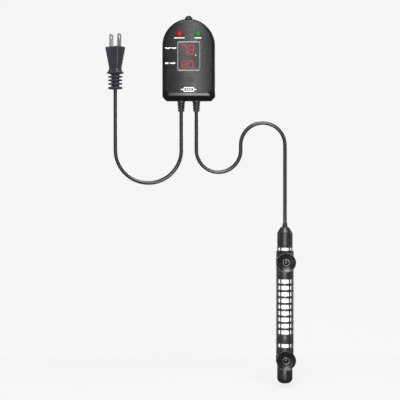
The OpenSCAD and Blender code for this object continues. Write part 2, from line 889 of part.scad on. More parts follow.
// Close-wound resistance coils, drawn as a scalloped rod with one scallop to each turn.
module coil_rod() {
    pitch = 4;
    turns = (core_z[1] - core_z[0]) / pitch;
    deep = 1;
    high = 1.4;
    rotate_extrude()
        polygon(concat([[0, core_z[0]]],
                       [for (i = [0:turns - 1]) each [[deep, core_z[0] + i * pitch],
                                                      [high, core_z[0] + (i + 0.5) * pitch]]],
                       [[deep, core_z[1]], [0, core_z[1]]]));
}

module heating_coils() {
    color([0.6, 0.55, 0.5])
        at_heater()
            for (k = [0:3]) rotate([0, 0, 45 + 90 * k]) translate([coil_circle, 0, 0]) coil_rod();
}

module thermal_cutout() {
    color([0.8, 0.8, 0.8]) at_heater() translate([-3.9, 0, 0]) rod(2, 152, 163);
}

module temperature_sensor() {
    color([0.15, 0.15, 0.15])
        at_heater()
            translate([4.9, 0, 157]) {
                cylinder(r = 1.3, h = 5);
                sphere(1.3);
            }
}

module lead_wires() {
    color([0.7, 0.5, 0.3])
        at_heater()
            for (k = [0:2])
                rotate([0, 0, 90 + 120 * k]) translate([wire_circle, 0, 0]) rod(0.6, 151, 182.9);
}

// Silicone plug that closes the quartz tube round the wires.
module tube_bung() {
    color([0.75, 0.35, 0.25])
        at_heater()
            difference() {
                union() {
                    rod(tube_r - tube_wall - gap, 167, tube_top + 1);
                    rod(guard_bore_r - 0.1, tube_top + gap, 181);
                }
                for (k = [0:2])
                    rotate([0, 0, 90 + 120 * k]) translate([wire_circle, 0, 0]) rod(0.65, 160, 182);
            }
}

module tube_cushions() {
    color([0.85, 0.85, 0.85])
        at_heater()
            for (z = [37, 138, 156])
                tube(guard_bore_r - gap, tube_r + gap, z, z + 2.5);
}

module end_cushion() {
    color([0.85, 0.85, 0.85])
        at_heater()
            difference() {
                rod(tube_r - 0.3, 4.15, 11);
                translate([0, 0, tube_tip + tube_r]) sphere(tube_r + gap);
            }
}

// ---------------------------------------------------------------- suction cups

// Split ring that turns on the guard, with a socket for the cup's head.
module cup_clip(z) {
    split = 3;
    color([0.07, 0.07, 0.075])
        at_heater()
            translate([0, 0, z])
                difference() {
                    union() {
                        rod(clip_r[1], -clip_h / 2, clip_h / 2);
                        facing(0, clip_face) circle(clip_boss_r);
                    }
                    rod(clip_r[0], -clip_h, clip_h);
                    pin_facing([0, 0], cup_head_r + 0.4, 0, clip_face - clip_skin);
                    pin_facing([0, 0], cup_neck_r + 0.1, 0, clip_face + over);
                    translate([-split / 2, 0, -clip_h]) cube([split, clip_r[1] + over, 2 * clip_h]);
                }
}

// Bell, neck and snap-in head, as [radius, distance from the heater's axis].
module suction_cup(z) {
    head_d = clip_face - clip_skin - 0.1;
    color([0.03, 0.03, 0.035])
        at_heater()
            translate([0, 0, z])
                rotate([90, 0, 0])
                    rotate_extrude()
                        polygon([[0, head_d - 1.4], [cup_head_r - 0.5, head_d - 1.4],
                                 [cup_head_r, head_d - 0.9], [cup_head_r, head_d],
                                 [cup_neck_r, head_d], [cup_neck_r, cup_back],
                                 [4.6, cup_back], [6.6, cup_back + 1], [9.3, cup_back + 2.8],
                                 [cup_r - 0.4, cup_lip - 0.7], [cup_r, cup_lip], [cup_r - 0.8, cup_lip],
                                 [8.6, cup_lip - 1.5], [5.6, cup_lip - 2.7], [3, cup_lip - 3.3],
                                 [2.2, cup_lip - 3], [1.5, cup_lip - 2.1], [0, cup_lip - 1.8]]);
}

module upper_cup_clip() { cup_clip(upper_cup_h); }

module upper_suction_cup() { suction_cup(upper_cup_h); }

module lower_cup_clip() { cup_clip(lower_cup_h); }

module lower_suction_cup() { suction_cup(lower_cup_h); }

// ---------------------------------------------------------------- nodes

front_shell();
back_shell();
case_screws();
display_bezel();
display_window();
display_module();
heating_lens();
power_lens();
heating_led();
power_led();
set_button();
switch_plunger();
switch_body();
circuit_board();
board_screws();
power_relay();
transformer();
electrolytic_capacitor();
film_capacitor();
fuse();
control_chip();
terminal_block();
cord_clamp();
clamp_screws();
power_cord_boot();
heater_cord_boot();
power_cord_inlet();
heater_cord_outlet();
mains_wires();
heater_wires();
power_cord();
plug_body();
plug_blades();
plug_insert();
plug_cord_end();
heater_cord();
heater_cord_end();
heater_boot();
top_cap();
guard_cage();
quartz_tube();
ceramic_core();
heating_coils();
thermal_cutout();
temperature_sensor();
lead_wires();
tube_bung();
tube_cushions();
end_cushion();
bottom_cap();
upper_cup_clip();
upper_suction_cup();
lower_cup_clip();
lower_suction_cup();
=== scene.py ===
"""Looks of the aquarium heater, its wall controller and its plug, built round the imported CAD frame.

Shapes are drawn in millimetres in the row frame: +X right, +Y into the wall, +Z up. A depth is a
distance in front of the wall, so it is -Y. make_piece() turns millimetres into metres.
"""

import json
import math

import bmesh
import bpy
from mathutils import Matrix, Vector


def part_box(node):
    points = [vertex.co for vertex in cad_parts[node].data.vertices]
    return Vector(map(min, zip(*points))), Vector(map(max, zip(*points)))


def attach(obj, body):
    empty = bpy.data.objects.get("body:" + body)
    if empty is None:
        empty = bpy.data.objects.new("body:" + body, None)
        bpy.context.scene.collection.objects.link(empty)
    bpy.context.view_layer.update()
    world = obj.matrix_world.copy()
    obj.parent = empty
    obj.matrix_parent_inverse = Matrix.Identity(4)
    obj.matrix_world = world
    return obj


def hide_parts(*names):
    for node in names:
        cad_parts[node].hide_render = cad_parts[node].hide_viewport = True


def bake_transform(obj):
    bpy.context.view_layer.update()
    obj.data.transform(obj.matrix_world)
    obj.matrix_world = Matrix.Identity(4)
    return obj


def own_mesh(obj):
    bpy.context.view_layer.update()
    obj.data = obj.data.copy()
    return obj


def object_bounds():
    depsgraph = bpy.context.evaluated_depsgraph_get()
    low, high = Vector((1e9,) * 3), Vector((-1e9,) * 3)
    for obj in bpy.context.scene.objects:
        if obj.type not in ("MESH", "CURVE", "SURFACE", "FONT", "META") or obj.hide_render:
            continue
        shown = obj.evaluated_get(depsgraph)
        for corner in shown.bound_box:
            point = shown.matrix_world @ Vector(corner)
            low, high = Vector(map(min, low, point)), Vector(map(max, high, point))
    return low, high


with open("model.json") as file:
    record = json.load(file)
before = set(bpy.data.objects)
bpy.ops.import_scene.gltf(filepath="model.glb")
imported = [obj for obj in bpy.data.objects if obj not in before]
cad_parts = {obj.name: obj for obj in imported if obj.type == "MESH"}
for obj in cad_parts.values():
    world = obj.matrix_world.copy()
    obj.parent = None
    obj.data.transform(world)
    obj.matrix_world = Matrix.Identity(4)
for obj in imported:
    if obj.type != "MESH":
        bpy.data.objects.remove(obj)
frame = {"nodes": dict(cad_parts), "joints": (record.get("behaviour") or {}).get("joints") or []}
cad_low, cad_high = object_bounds()
MM = 0.001
scene = bpy.context.scene


# ------------------------------------------------------------------ places, read from the frame

def box_mm(node):
    low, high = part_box(node)
    return low / MM, high / MM


def middle_mm(node):
    low, high = box_mm(node)
    return (low + high) / 2


def pivot_mm(joint):
    return Vector(next(j for j in frame["joints"] if j["name"] == joint)["pos_m"]) / MM


CASE_LOW, CASE_HIGH = box_mm("back_shell")
HALF_W = (CASE_HIGH.x - CASE_LOW.x) / 2
BOTTOM = CASE_LOW.z                             # underside of the case
SEAM = -CASE_LOW.y                              # depth of the seam between the two shells
FRONT = -box_mm("front_shell")[0].y             # depth of the case's front
ARCH_Z = BOTTOM + 66                            # height of the arch's centre
LUG_TOP = CASE_HIGH.z
WALL = 2                                        # thickness of the case walls

DISPLAY_LOW, DISPLAY_HIGH = box_mm("display_bezel")
DISPLAY_Z = (DISPLAY_LOW.z + DISPLAY_HIGH.z) / 2
LAMP_X = middle_mm("power_lens").x
LAMP_Z = BOTTOM + 80
BUTTON_LOW, BUTTON_HIGH = box_mm("set_button")
BUTTON_Z = (BUTTON_LOW.z + BUTTON_HIGH.z) / 2

POWER_PIVOT = pivot_mm("power_cord_bend")
LEAD_PIVOT = pivot_mm("heater_cord_bend")
PLUG_PIVOT = pivot_mm("plug_bend")
HEATER_PIVOT = pivot_mm("heater_bend")
CORD_R = (box_mm("power_cord_inlet")[1].x - box_mm("power_cord_inlet")[0].x) / 2
CORD_DEPTH = -POWER_PIVOT.y

HEATER_X = HEATER_PIVOT.x
TIP_Z = box_mm("bottom_cap")[0].z
UPPER_CUP_Z = pivot_mm("upper_clip_turn").z
LOWER_CUP_Z = pivot_mm("lower_clip_turn").z
CAP_R = (box_mm("top_cap")[1].x - box_mm("top_cap")[0].x) / 2
RAIL_R = (box_mm("guard_cage")[1].x - box_mm("guard_cage")[0].x) / 2

PLUG_TURN = -36.5                               # turn of the plug about its own cord, degrees
AT_PLUG = Matrix.Translation(PLUG_PIVOT) @ Matrix.Rotation(math.radians(PLUG_TURN), 4, "Z")
AT_HEATER = Matrix.Translation((HEATER_X, -CORD_DEPTH, TIP_Z))


# ------------------------------------------------------------------ outlines

def polar(radius, degrees):
    turn = math.radians(degrees)
    return Vector((radius * math.cos(turn), radius * math.sin(turn)))


def arc(centre, radius, start, end, steps):
    spread = [start + (end - start) * i / steps for i in range(steps + 1)]
    return [Vector(centre) + polar(radius, a) for a in spread]


def circle(radius, steps=48, centre=(0, 0)):
    return arc(centre, radius, 0, 360, steps)[:-1]


def round_rect(width, height, radius, steps=6):
    points = []
    for sx, sy, start in ((1, 1, 0), (-1, 1, 90), (-1, -1, 180), (1, -1, 270)):
        centre = (sx * (width / 2 - radius), sy * (height / 2 - radius))
        points += arc(centre, radius, start, start + 90, steps)
    return points


def pill(width, height, steps=10):
    return round_rect(width, height, height / 2 - 0.001, steps)


def rounded(points, reach, steps=4, closed=True):
    """The outline with each corner cut back by up to reach and bridged by a curve."""
    out = []
    for i, point in enumerate(points):
        here = Vector(point)
        if not closed and i in (0, len(points) - 1):
            out.append(here)
            continue
        before = Vector(points[i - 1]) - here
        after = Vector(points[(i + 1) % len(points)]) - here
        cut = min(reach, before.length * 0.45, after.length * 0.45)
        a = here + before.normalized() * cut
        b = here + after.normalized() * cut
        for k in range(steps + 1):
            t = k / steps
            out.append(a * (1 - t) ** 2 + here * 2 * t * (1 - t) + b * t ** 2)
    return out


def lamp_outline(grow, corner_r=1.9, steps=8):
    """Rounded triangle: an arc round each corner, between the normals of the sides that meet there."""
    corners = [Vector((2.4, -1.9)), Vector((0, 2.3)), Vector((-2.4, -1.9))]
    lean = math.degrees(math.atan2(corners[1].x - corners[0].x, corners[1].y - corners[0].y))
    turns = [-90, -lean, 180 + lean, 270]
    points = []
    for k, corner in enumerate(corners):
        points += arc(corner, corner_r + grow, turns[k], turns[k + 1], steps)
    return points


# ------------------------------------------------------------------ meshes

def at_depth(outline, depth, centre=(0, 0)):
    """An outline drawn as (x, z) put in front of the wall at one depth."""
    return [Vector((centre[0] + p[0], -depth, centre[1] + p[1])) for p in outline]


def loft(bm, rings, caps=True, closed=True):
    """Quads between rings of equal length. caps closes both ends."""
    loops = [[bm.verts.new(p) for p in ring] for ring in rings]
    count = len(rings[0])
    for a, b in zip(loops, loops[1:]):
        for i in range(count if closed else count - 1):
            j = (i + 1) % count
            bm.faces.new((a[i], a[j], b[j], b[i]))
    if caps:
        bm.faces.new(loops[0])
        bm.faces.new(loops[-1])


def lathe(bm, profile, place, steps=64):
    """Turns a closed profile of (radius, height) about the local Z axis of place."""
    rings = []
    for radius, height in list(profile) + [profile[0]]:
        rings.append([place @ Vector((*polar(max(radius, 0), 360 * i / steps), height)) for i in range(steps)])
    loft(bm, rings, caps=False)


def prism(outline, low, high, centre=(0, 0)):
    bm = bmesh.new()
    loft(bm, [at_depth(outline, low, centre), at_depth(outline, high, centre)])
    return bm


def facing_pin(centre, radius, low, high, steps=40):
    return prism(circle(radius, steps), low, high, centre)


def turned(profile, place, steps=64):
    bm = bmesh.new()
    lathe(bm, profile, place, steps)
    return bm


def upright(x, radius, low, high):
    """Cylinder along Z through the cord depth, for the outlets under the case."""
    return turned([(0, low), (radius, low), (radius, high), (0, high)],
                  Matrix.Translation((x, -CORD_DEPTH, 0)), 40)


def tidy(bm):
    bmesh.ops.remove_doubles(bm, verts=bm.verts, dist=0.0005)
    bmesh.ops.dissolve_degenerate(bm, edges=bm.edges, dist=0.0005)
    bmesh.ops.recalc_face_normals(bm, faces=bm.faces)


def combine(bm, cutter, operation="DIFFERENCE"):
    """Exact boolean of two meshes. Both are used up, and the result is returned."""
    objects = []
    for part in (bm, cutter):
        tidy(part)
        mesh = bpy.data.meshes.new("boolean")
        part.to_mesh(mesh)
        part.free()
        objects.append(bpy.data.objects.new("boolean", mesh))
        scene.collection.objects.link(objects[-1])
    modifier = objects[0].modifiers.new("boolean", "BOOLEAN")
    modifier.operation = operation
    modifier.object = objects[1]
    modifier.solver = "EXACT"
    result = bmesh.new()
    result.from_object(objects[0], bpy.context.evaluated_depsgraph_get())
    for obj in objects:
        mesh = obj.data
        bpy.data.objects.remove(obj)
        bpy.data.meshes.remove(mesh)
    return result


def cut(bm, *cutters):
    for cutter in cutters:
        bm = combine(bm, cutter)
    return bm


def join(bm, *others):
    for other in others:
        bm = combine(bm, other, "UNION")
    return bm


def add(bm, other):
    """Copies another mesh into bm, as a separate solid."""
    mesh = bpy.data.meshes.new("copy")
    tidy(other)
    other.to_mesh(mesh)
    other.free()
    bm.from_mesh(mesh)
    bpy.data.meshes.remove(mesh)


def round_edges(bm, width, segments=2, angle=40):
    """Bevels every edge sharper than angle degrees."""
    tidy(bm)
    sharp = [e for e in bm.edges if len(e.link_faces) == 2 and e.calc_face_angle(0) > math.radians(angle)]
    bmesh.ops.bevel(bm, geom=sharp, offset=width, segments=segments, profile=0.5,
                    affect="EDGES", clamp_overlap=True)
    return bm


def tube_along(bm, path, radius, sides=24):
    """Round tube along a path, with its rings carried along without twist."""
    rings = []
    side = None
    for i, point in enumerate(path):
        ahead = (path[min(i + 1, len(path) - 1)] - path[max(i - 1, 0)]).normalized()
        if side is None:
            side = ahead.orthogonal().normalized()
        side = (side - ahead * side.dot(ahead)).normalized()
        other = ahead.cross(side)
        turns = [polar(radius, 360 * k / sides) for k in range(sides)]
        rings.append([point + side * t.x + other * t.y for t in turns])
    loft(bm, rings)


def link(name, mesh, material):
    obj = bpy.data.objects.new(name, mesh)
    scene.collection.objects.link(obj)
    mesh.materials.append(material)
    return obj


def make_piece(name, bm, material, body, stands_for=(), sharp=35):
    """Turns a bmesh in millimetres into a named piece that rides on a body."""
    tidy(bm)
    bmesh.ops.scale(bm, vec=(MM, MM, MM), verts=bm.verts)
    mesh = bpy.data.meshes.new(name)
    bm.to_mesh(mesh)
    bm.free()
    mesh.shade_smooth()
    mesh.set_sharp_from_angle(angle=math.radians(sharp))
    obj = link(name, mesh, material)
    if body:
        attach(obj, body)
    if stands_for:
        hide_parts(*stands_for)
    return obj


# ------------------------------------------------------------------ material nodes

class Finish:
    """Builds one procedural material. Texture coordinates are the piece's own, in millimetres."""

    def __init__(self, name):
        self.material = bpy.data.materials.new(name)
        self.material.use_nodes = True
        self.tree = self.material.node_tree
        self.shader = self.tree.nodes["Principled BSDF"]
        coordinates = self.node("ShaderNodeTexCoord")
        self.mm = self.node("ShaderNodeMapping", Vector=coordinates.outputs["Object"], Scale=(1 / MM,) * 3)

    def node(self, kind, **inputs):
        node = self.tree.nodes.new(kind)
        for name, value in inputs.items():
            self.feed(node, name.replace("_", " "), value)
        return node

    def feed(self, node, name, value):
        """Sets one input to a value, or joins it to the first output of another node."""
        socket = node.inputs[name]
        if isinstance(value, bpy.types.Node):
            value = value.outputs[0]
        if isinstance(value, bpy.types.NodeSocket):
            self.tree.links.new(value, socket)
        elif hasattr(socket.default_value, "__len__") and len(value) == 3 and len(socket.default_value) == 4:
            socket.default_value = (*value, 1)
        else:
            socket.default_value = value

    def set(self, **inputs):
        for name, value in inputs.items():
            self.feed(self.shader, name.replace("_", " "), value)

    def noise(self, size, detail=3.0, stretch=(1, 1, 1), twist=0.0):
        """Noise whose features are about size millimetres across."""
        where = self.node("ShaderNodeMapping", Vector=self.mm, Scale=[1 / (size * s) for s in stretch])
        return self.node("ShaderNodeTexNoise", Vector=where, Scale=1.0, Detail=detail, Distortion=twist)

    def cells(self, size):
        where = self.node("ShaderNodeMapping", Vector=self.mm, Scale=(1 / size,) * 3)
        return self.node("ShaderNodeTexVoronoi", Vector=where, Scale=1.0)

    def spread(self, value, low, high, start=0.3, end=0.7):
        """Maps start..end of a value to low..high, clamped."""
        node = self.node("ShaderNodeMapRange", Value=value, From_Min=start, From_Max=end,
                         To_Min=low, To_Max=high)
        return node

    def mix(self, share, first, second):
        node = self.tree.nodes.new("ShaderNodeMix")
        node.data_type = "RGBA"
        for index, value in ((0, share), (6, first), (7, second)):
            socket = node.inputs[index]
            if isinstance(value, bpy.types.Node):
                self.tree.links.new(value.outputs[0], socket)
            elif isinstance(value, bpy.types.NodeSocket):
                self.tree.links.new(value, socket)
            else:
                socket.default_value = (*value, 1) if index else value
        return node.outputs[2]

    def axis(self, letter):
        """One coordinate, in millimetres."""
        split = self.node("ShaderNodeSeparateXYZ", Vector=self.mm)
        return split.outputs[letter]

    def math(self, operation, first, second=0.0):
        node = self.tree.nodes.new("ShaderNodeMath")
        node.operation = operation
        for index, value in enumerate((first, second)):
            if isinstance(value, (bpy.types.Node, bpy.types.NodeSocket)):
                source = value.outputs[0] if isinstance(value, bpy.types.Node) else value
                self.tree.links.new(source, node.inputs[index])
            else:
                node.inputs[index].default_value = value
        return node

    def relief(self, height, depth, below=None):
        """Bump of a depth in millimetres, over another bump if one is given."""
        node = self.node("ShaderNodeBump", Height=height, Distance=depth * MM)
        if below:
            self.tree.links.new(below.outputs[0], node.inputs["Normal"])
        return node

    def edges(self, start=0.51, end=0.58):
        """1 on convex edges and 0 elsewhere."""
        shape = self.node("ShaderNodeNewGeometry")
        return self.spread(shape.outputs["Pointiness"], 0, 1, start, end)


def tint(colour, factor):
    return tuple(min(1.0, c * factor) for c in colour)


def moulded(name, colour, rough, mottle=0.2, patch=14, grain=0.45, relief=0.012, worn=0.25, **shader):
    """Moulded plastic or rubber: faint blotches, spark texture, uneven gloss and paler edges."""
    finish = Finish(name)
    blotch = finish.noise(patch, 4)
    speck = finish.noise(grain, 2)
    base = finish.mix(finish.spread(blotch, 0, 1), tint(colour, 1 - mottle), tint(colour, 1 + mottle))
    base = finish.mix(finish.spread(speck, 0, 0.35, 0.55, 0.8), base, tint(colour, 1.8))
    base = finish.mix(finish.math("MULTIPLY", finish.edges(), worn), base, tint(colour, 4.0))
    gloss = finish.spread(finish.noise(patch / 4, 5), rough - 0.06, rough + 0.08)
    waves = finish.relief(finish.noise(patch / 2, 2), relief * 1.5)
    finish.set(Base_Color=base, Roughness=gloss, Normal=finish.relief(speck, relief, waves), **shader)
    return finish.material


def case_material():
    """Moulded case: satin where it faces the front or the back, matt round the rim, with painted shade that makes the
    rim's colour darker than the face's.
    """
    finish = Finish("case_plastic")
    coordinates = finish.node("ShaderNodeTexCoord")
    facing = finish.node("ShaderNodeSeparateXYZ", Vector=coordinates.outputs["Normal"])
    unshaded_face = finish.spread(finish.math("ABSOLUTE", facing.outputs["Y"]), 0, 1, 0.88, 0.985)
    blotch = finish.noise(24, 4)
    speck = finish.noise(0.35, 2)
    face = finish.mix(finish.spread(blotch, 0, 1), (0.0075, 0.0075, 0.0083), (0.0105, 0.0105, 0.0113))
    # painted shade: the rim, where the case turns away from the light, gets a darker colour than the face
    base = finish.mix(unshaded_face, (0.005, 0.005, 0.0055), face)
    base = finish.mix(finish.spread(speck, 0, 0.3, 0.55, 0.8), base, (0.02, 0.02, 0.021))
    uneven = finish.spread(finish.noise(6, 5), -0.02, 0.03)
    gloss = finish.math("ADD", finish.spread(unshaded_face, 0.42, 0.26, 0, 1), uneven)
    finish.set(Base_Color=base, Roughness=gloss, Specular_IOR_Level=finish.spread(unshaded_face, 0.35, 0.5, 0, 1),
               Normal=finish.relief(speck, 0.004))
    return finish.material


def metal(name, colour, rough, stretch=(1, 1, 1), grain=0.6, relief=0.01, dull=0.25):
    """Plated or plain metal with fine drawing marks along one axis and duller patches."""
    finish = Finish(name)
    marks = finish.noise(grain, 4, stretch)
    patches = finish.noise(5, 4)
    base = finish.mix(finish.spread(marks, 0, 1), tint(colour, 0.82), colour)
    base = finish.mix(finish.spread(patches, 0, dull), base, tint(colour, 0.55))
    finish.set(Base_Color=base, Metallic=1.0, Roughness=finish.spread(patches, rough - 0.07, rough + 0.12),
               Normal=finish.relief(marks, relief))
    return finish.material


def lamp_material(name, colour, centre, strength):
    """Coloured lens, lit from behind and darker towards its rim."""
    finish = Finish(name)
    dx = finish.math("SUBTRACT", finish.axis("X"), centre.x)
    dz = finish.math("SUBTRACT", finish.axis("Z"), centre.z)
    squares = finish.math("ADD", finish.math("MULTIPLY", dx, dx), finish.math("MULTIPLY", dz, dz))
    away = finish.math("SQRT", squares)
    ripple = finish.math("MULTIPLY", finish.noise(0.9, 2), 1.2)
    glow = finish.spread(finish.math("ADD", away, ripple), strength, strength * 0.12, 1.2, 5.0)
    body = finish.mix(finish.spread(away, 0, 1, 1.0, 4.6), tint(colour, 0.36), tint(colour, 0.16))
    finish.set(Base_Color=body, Emission_Color=colour, Emission_Strength=glow,
               Specular_IOR_Level=0.2, Coat_Weight=0.06, Coat_Roughness=0.15,
               Roughness=finish.spread(finish.noise(2, 3), 0.3, 0.42),
               Normal=finish.relief(finish.cells(0.8), 0.006))
    return finish.material


def lit_material(name, colour, strength):
    """Light-emitting segment, slightly uneven as real ones are."""
    finish = Finish(name)
    flicker = finish.noise(1.6, 2)
    finish.set(Base_Color=finish.mix(finish.spread(flicker, 0, 1), tint(colour, 0.5), tint(colour, 0.7)),
               Roughness=0.4, Emission_Color=colour,
               Emission_Strength=finish.spread(flicker, strength * 0.75, strength * 1.15))
    return finish.material


def window_material():
    """Smoked acrylic: half clear, glossy, with faint moulding ripples."""
    finish = Finish("smoked_window")
    haze = finish.noise(9, 3)
    finish.set(Base_Color=finish.mix(finish.spread(haze, 0, 1), (0.05, 0.05, 0.052), (0.085, 0.082, 0.084)),
               Roughness=finish.spread(finish.noise(3, 4), 0.3, 0.38), Alpha=0.45, IOR=1.45,
               Normal=finish.relief(finish.noise(12, 1), 0.004))
    return finish.material


def quartz_material():
    """Opal quartz: milky white, with a painted glow: a little emission that makes the tube, which is no lamp, read
    bright white.
    """
    finish = Finish("opal_quartz")
    cloud = finish.noise(6, 4, (1, 1, 3))
    streak = finish.noise(0.8, 2, (1, 1, 30))
    base = finish.mix(finish.spread(cloud, 0, 1), (0.86, 0.87, 0.86), (0.97, 0.97, 0.96))
    base = finish.mix(finish.spread(streak, 0, 0.12), base, (0.72, 0.74, 0.75))
    # Emission_Strength is a painted glow, not light that the tube gives off
    finish.set(Base_Color=base, Roughness=finish.spread(cloud, 0.14, 0.26), Coat_Weight=0.5,
               Coat_Roughness=0.05, Emission_Color=(1.0, 1.0, 0.98), Emission_Strength=0.3,
               Normal=finish.relief(streak, 0.01))
    return finish.material


def board_material():
    """Green lacquer over copper tracks, with paler tracks and tinned islands."""
    finish = Finish("board_green")
    tracks = finish.node("ShaderNodeTexWave", Vector=finish.mm, Scale=0.35, Distortion=6.0, Detail=1.0)
    lines = finish.spread(tracks, 0, 1, 0.62, 0.68)
    pads = finish.spread(finish.cells(4.2), 1, 0, 0.13, 0.16)
    base = finish.mix(lines, (0.012, 0.10, 0.035), (0.03, 0.19, 0.07))
    base = finish.mix(pads, base, (0.62, 0.60, 0.52))
    finish.set(Base_Color=base, Roughness=finish.spread(finish.noise(3), 0.25, 0.42), Coat_Weight=0.4,
               Normal=finish.relief(finish.math("ADD", lines, pads), 0.05))
    return finish.material


def banded(name, colour, other, axis, pitch, share, rough):
    """Two colours in bands across one axis: wound tape, sleeve stripes, resistor rings."""
    finish = Finish(name)
    phase = finish.math("FRACT", finish.math("DIVIDE", finish.axis(axis), pitch))
    grime = finish.noise(2.5, 4)
    band = finish.spread(phase, 0, 1, share, share + 0.04)
    base = finish.mix(band, colour, other)
    base = finish.mix(finish.spread(grime, 0, 0.3), base, tint(colour, 0.5))
    finish.set(Base_Color=base, Roughness=finish.spread(grime, rough - 0.06, rough + 0.1),
               Normal=finish.relief(band, 0.03))
    return finish.material


def clear(name, colour, rough, alpha):
    """Clear or cloudy part, such as a glass tube or a silicone ring."""
    finish = Finish(name)
    cloud = finish.noise(4, 4)
    finish.set(Base_Color=finish.mix(finish.spread(cloud, 0, 1), tint(colour, 0.88), colour),
               Roughness=finish.spread(cloud, rough, rough + 0.12), Alpha=alpha,
               Normal=finish.relief(finish.noise(1.2, 2), 0.01))
    return finish.material


CASE = case_material()
BEZEL = moulded("bezel_grey", (0.17, 0.18, 0.178), 0.34, mottle=0.06, patch=8, grain=0.3,
                relief=0.005, worn=0.12, Metallic=0.25)
WINDOW = window_material()
DARK = moulded("display_dark", (0.05, 0.048, 0.05), 0.5, mottle=0.15, patch=9, relief=0.01, worn=0.1)
UNLIT = moulded("unlit_segment", (0.085, 0.06, 0.062), 0.45, mottle=0.1, patch=3, relief=0.01, worn=0)
RED_LENS = lamp_material("red_lens", (0.66, 0.003, 0.011), middle_mm("heating_lens"), 0.3)
GREEN_LENS = lamp_material("green_lens", (0.022, 0.25, 0.05), middle_mm("power_lens"), 0.55)
RED_LIGHT = lit_material("red_segments", (0.9, 0.02, 0.02), 1.25)
WHITE_LIGHT = lit_material("white_indicator", (1.0, 0.98, 0.92), 2.4)
PRINT = moulded("print_white", (0.80, 0.81, 0.80), 0.5, mottle=0.05, patch=4, grain=0.25,
                relief=0.004, worn=0)
RUBBER = moulded("button_rubber", (0.026, 0.026, 0.028), 0.55, patch=5, grain=0.25, relief=0.012,
                 worn=0.3, Sheen_Weight=0.15)
BOOT = moulded("boot_rubber", (0.016, 0.016, 0.017), 0.42, patch=5, grain=0.3, relief=0.014, worn=0.35)
CORD = moulded("cord_rubber", (0.014, 0.014, 0.016), 0.3, mottle=0.18, patch=9, grain=0.3,
               relief=0.01, worn=0, Coat_Weight=0.35, Coat_Roughness=0.22)
PLUG = moulded("plug_vinyl", (0.024, 0.025, 0.034), 0.42, mottle=0.15, patch=10, grain=0.4,
               relief=0.012, worn=0.18, Coat_Weight=0.05, Coat_Roughness=0.3)
GUARD = moulded("guard_plastic", (0.014, 0.0145, 0.016), 0.4, mottle=0.25, patch=12, grain=0.4,
                relief=0.015, worn=0.5, Coat_Weight=0.1, Coat_Roughness=0.3)
CUP = moulded("cup_rubber", (0.009, 0.009, 0.01), 0.3, mottle=0.2, patch=7, grain=0.5, relief=0.01,
              worn=0.2, Coat_Weight=0.3, Coat_Roughness=0.2)
QUARTZ = quartz_material()
BLADE = metal("blade_metal", (0.72, 0.73, 0.74), 0.46, stretch=(0.4, 0.4, 12))
STEEL = metal("steel_screws", (0.58, 0.58, 0.60), 0.28, grain=0.3)
BRASS = metal("brass_screws", (0.66, 0.52, 0.26), 0.3, grain=0.3)

# Every CAD node that stays, and its finish.
CREAM = moulded("cream_plastic", (0.72, 0.68, 0.56), 0.45, mottle=0.06, worn=0.1)
BLACK = moulded("component_black", (0.02, 0.02, 0.022), 0.5, patch=4, worn=0.2)
HIDDEN = {
    "display_module": DARK,
    "heating_led": clear("red_led", (0.75, 0.06, 0.05), 0.12, 0.85),
    "power_led": clear("green_led", (0.08, 0.6, 0.16), 0.12, 0.85),
    "switch_plunger": CREAM,
    "switch_body": BLACK,
    "circuit_board": board_material(),
    "board_screws": BRASS,
    "power_relay": moulded("relay_blue", (0.03, 0.12, 0.42), 0.3, mottle=0.08, worn=0.1),
    "transformer": banded("transformer_yellow", (0.75, 0.50, 0.04), (0.30, 0.31, 0.33), "Z", 5.0, 0.6, 0.4),
    "electrolytic_capacitor": banded("capacitor_sleeve", (0.02, 0.025, 0.09), (0.55, 0.57, 0.6), "X", 9.0, 0.8, 0.3),
    "film_capacitor": moulded("capacitor_yellow", (0.62, 0.45, 0.04), 0.35, mottle=0.06, worn=0.1),
    "fuse": clear("fuse_glass", (0.75, 0.78, 0.76), 0.1, 0.7),
    "control_chip": BLACK,
    "terminal_block": moulded("terminal_green", (0.03, 0.28, 0.10), 0.4, mottle=0.08, worn=0.1),
    "cord_clamp": CREAM,
    "clamp_screws": BRASS,
    "mains_wires": banded("wire_brown", (0.16, 0.06, 0.025), (0.19, 0.08, 0.035), "Z", 0.8, 0.5, 0.4),
    "heater_wires": banded("wire_blue", (0.02, 0.06, 0.30), (0.03, 0.08, 0.36), "Z", 0.8, 0.5, 0.4),
    "plug_insert": CREAM,
    "quartz_tube": QUARTZ,
    "ceramic_core": moulded("ceramic", (0.74, 0.70, 0.60), 0.7, mottle=0.06, patch=6, relief=0.03, worn=0),
    "heating_coils": metal("resistance_wire", (0.36, 0.33, 0.31), 0.4, stretch=(1, 1, 0.3)),
    "thermal_cutout": metal("bare_metal", (0.62, 0.62, 0.6), 0.25),
    "temperature_sensor": BLACK,
    "lead_wires": metal("wire_copper", (0.72, 0.38, 0.20), 0.3, stretch=(1, 1, 4)),
    "tube_bung": moulded("silicone_red", (0.42, 0.10, 0.05), 0.55, mottle=0.08, worn=0.1),
    "tube_cushions": clear("silicone_clear", (0.75, 0.76, 0.76), 0.35, 0.8),
    "end_cushion": clear("silicone_clear_end", (0.75, 0.76, 0.76), 0.35, 0.8),
}


# ------------------------------------------------------------------ controller case

CROWN = 1.4                                     # how much lower the front is at its sides
CROWN_AT = 28                                   # distance from the middle where that is measured
COLUMNS = 32                                    # columns of quads across a face
CORNER = 4.6                                    # chamfer at the two bottom corners
CORNER_POINTS = 10
FRONT_EDGE = (3.9, 5.5)                           # inset and drop of the rounded edge of the front
FRONT_FOOT = [(0, 6.2), (4.3, 0.95), (8.3, 0), (9.4, 0)]    # the two slopes at its bottom
BACK_EDGE = 2.5


def front_depth(x):
    """Depth of the gently crowned front at a distance x from the middle."""
    return FRONT - CROWN * (x / CROWN_AT) ** 2


def back_depth(x):
    return 0.0


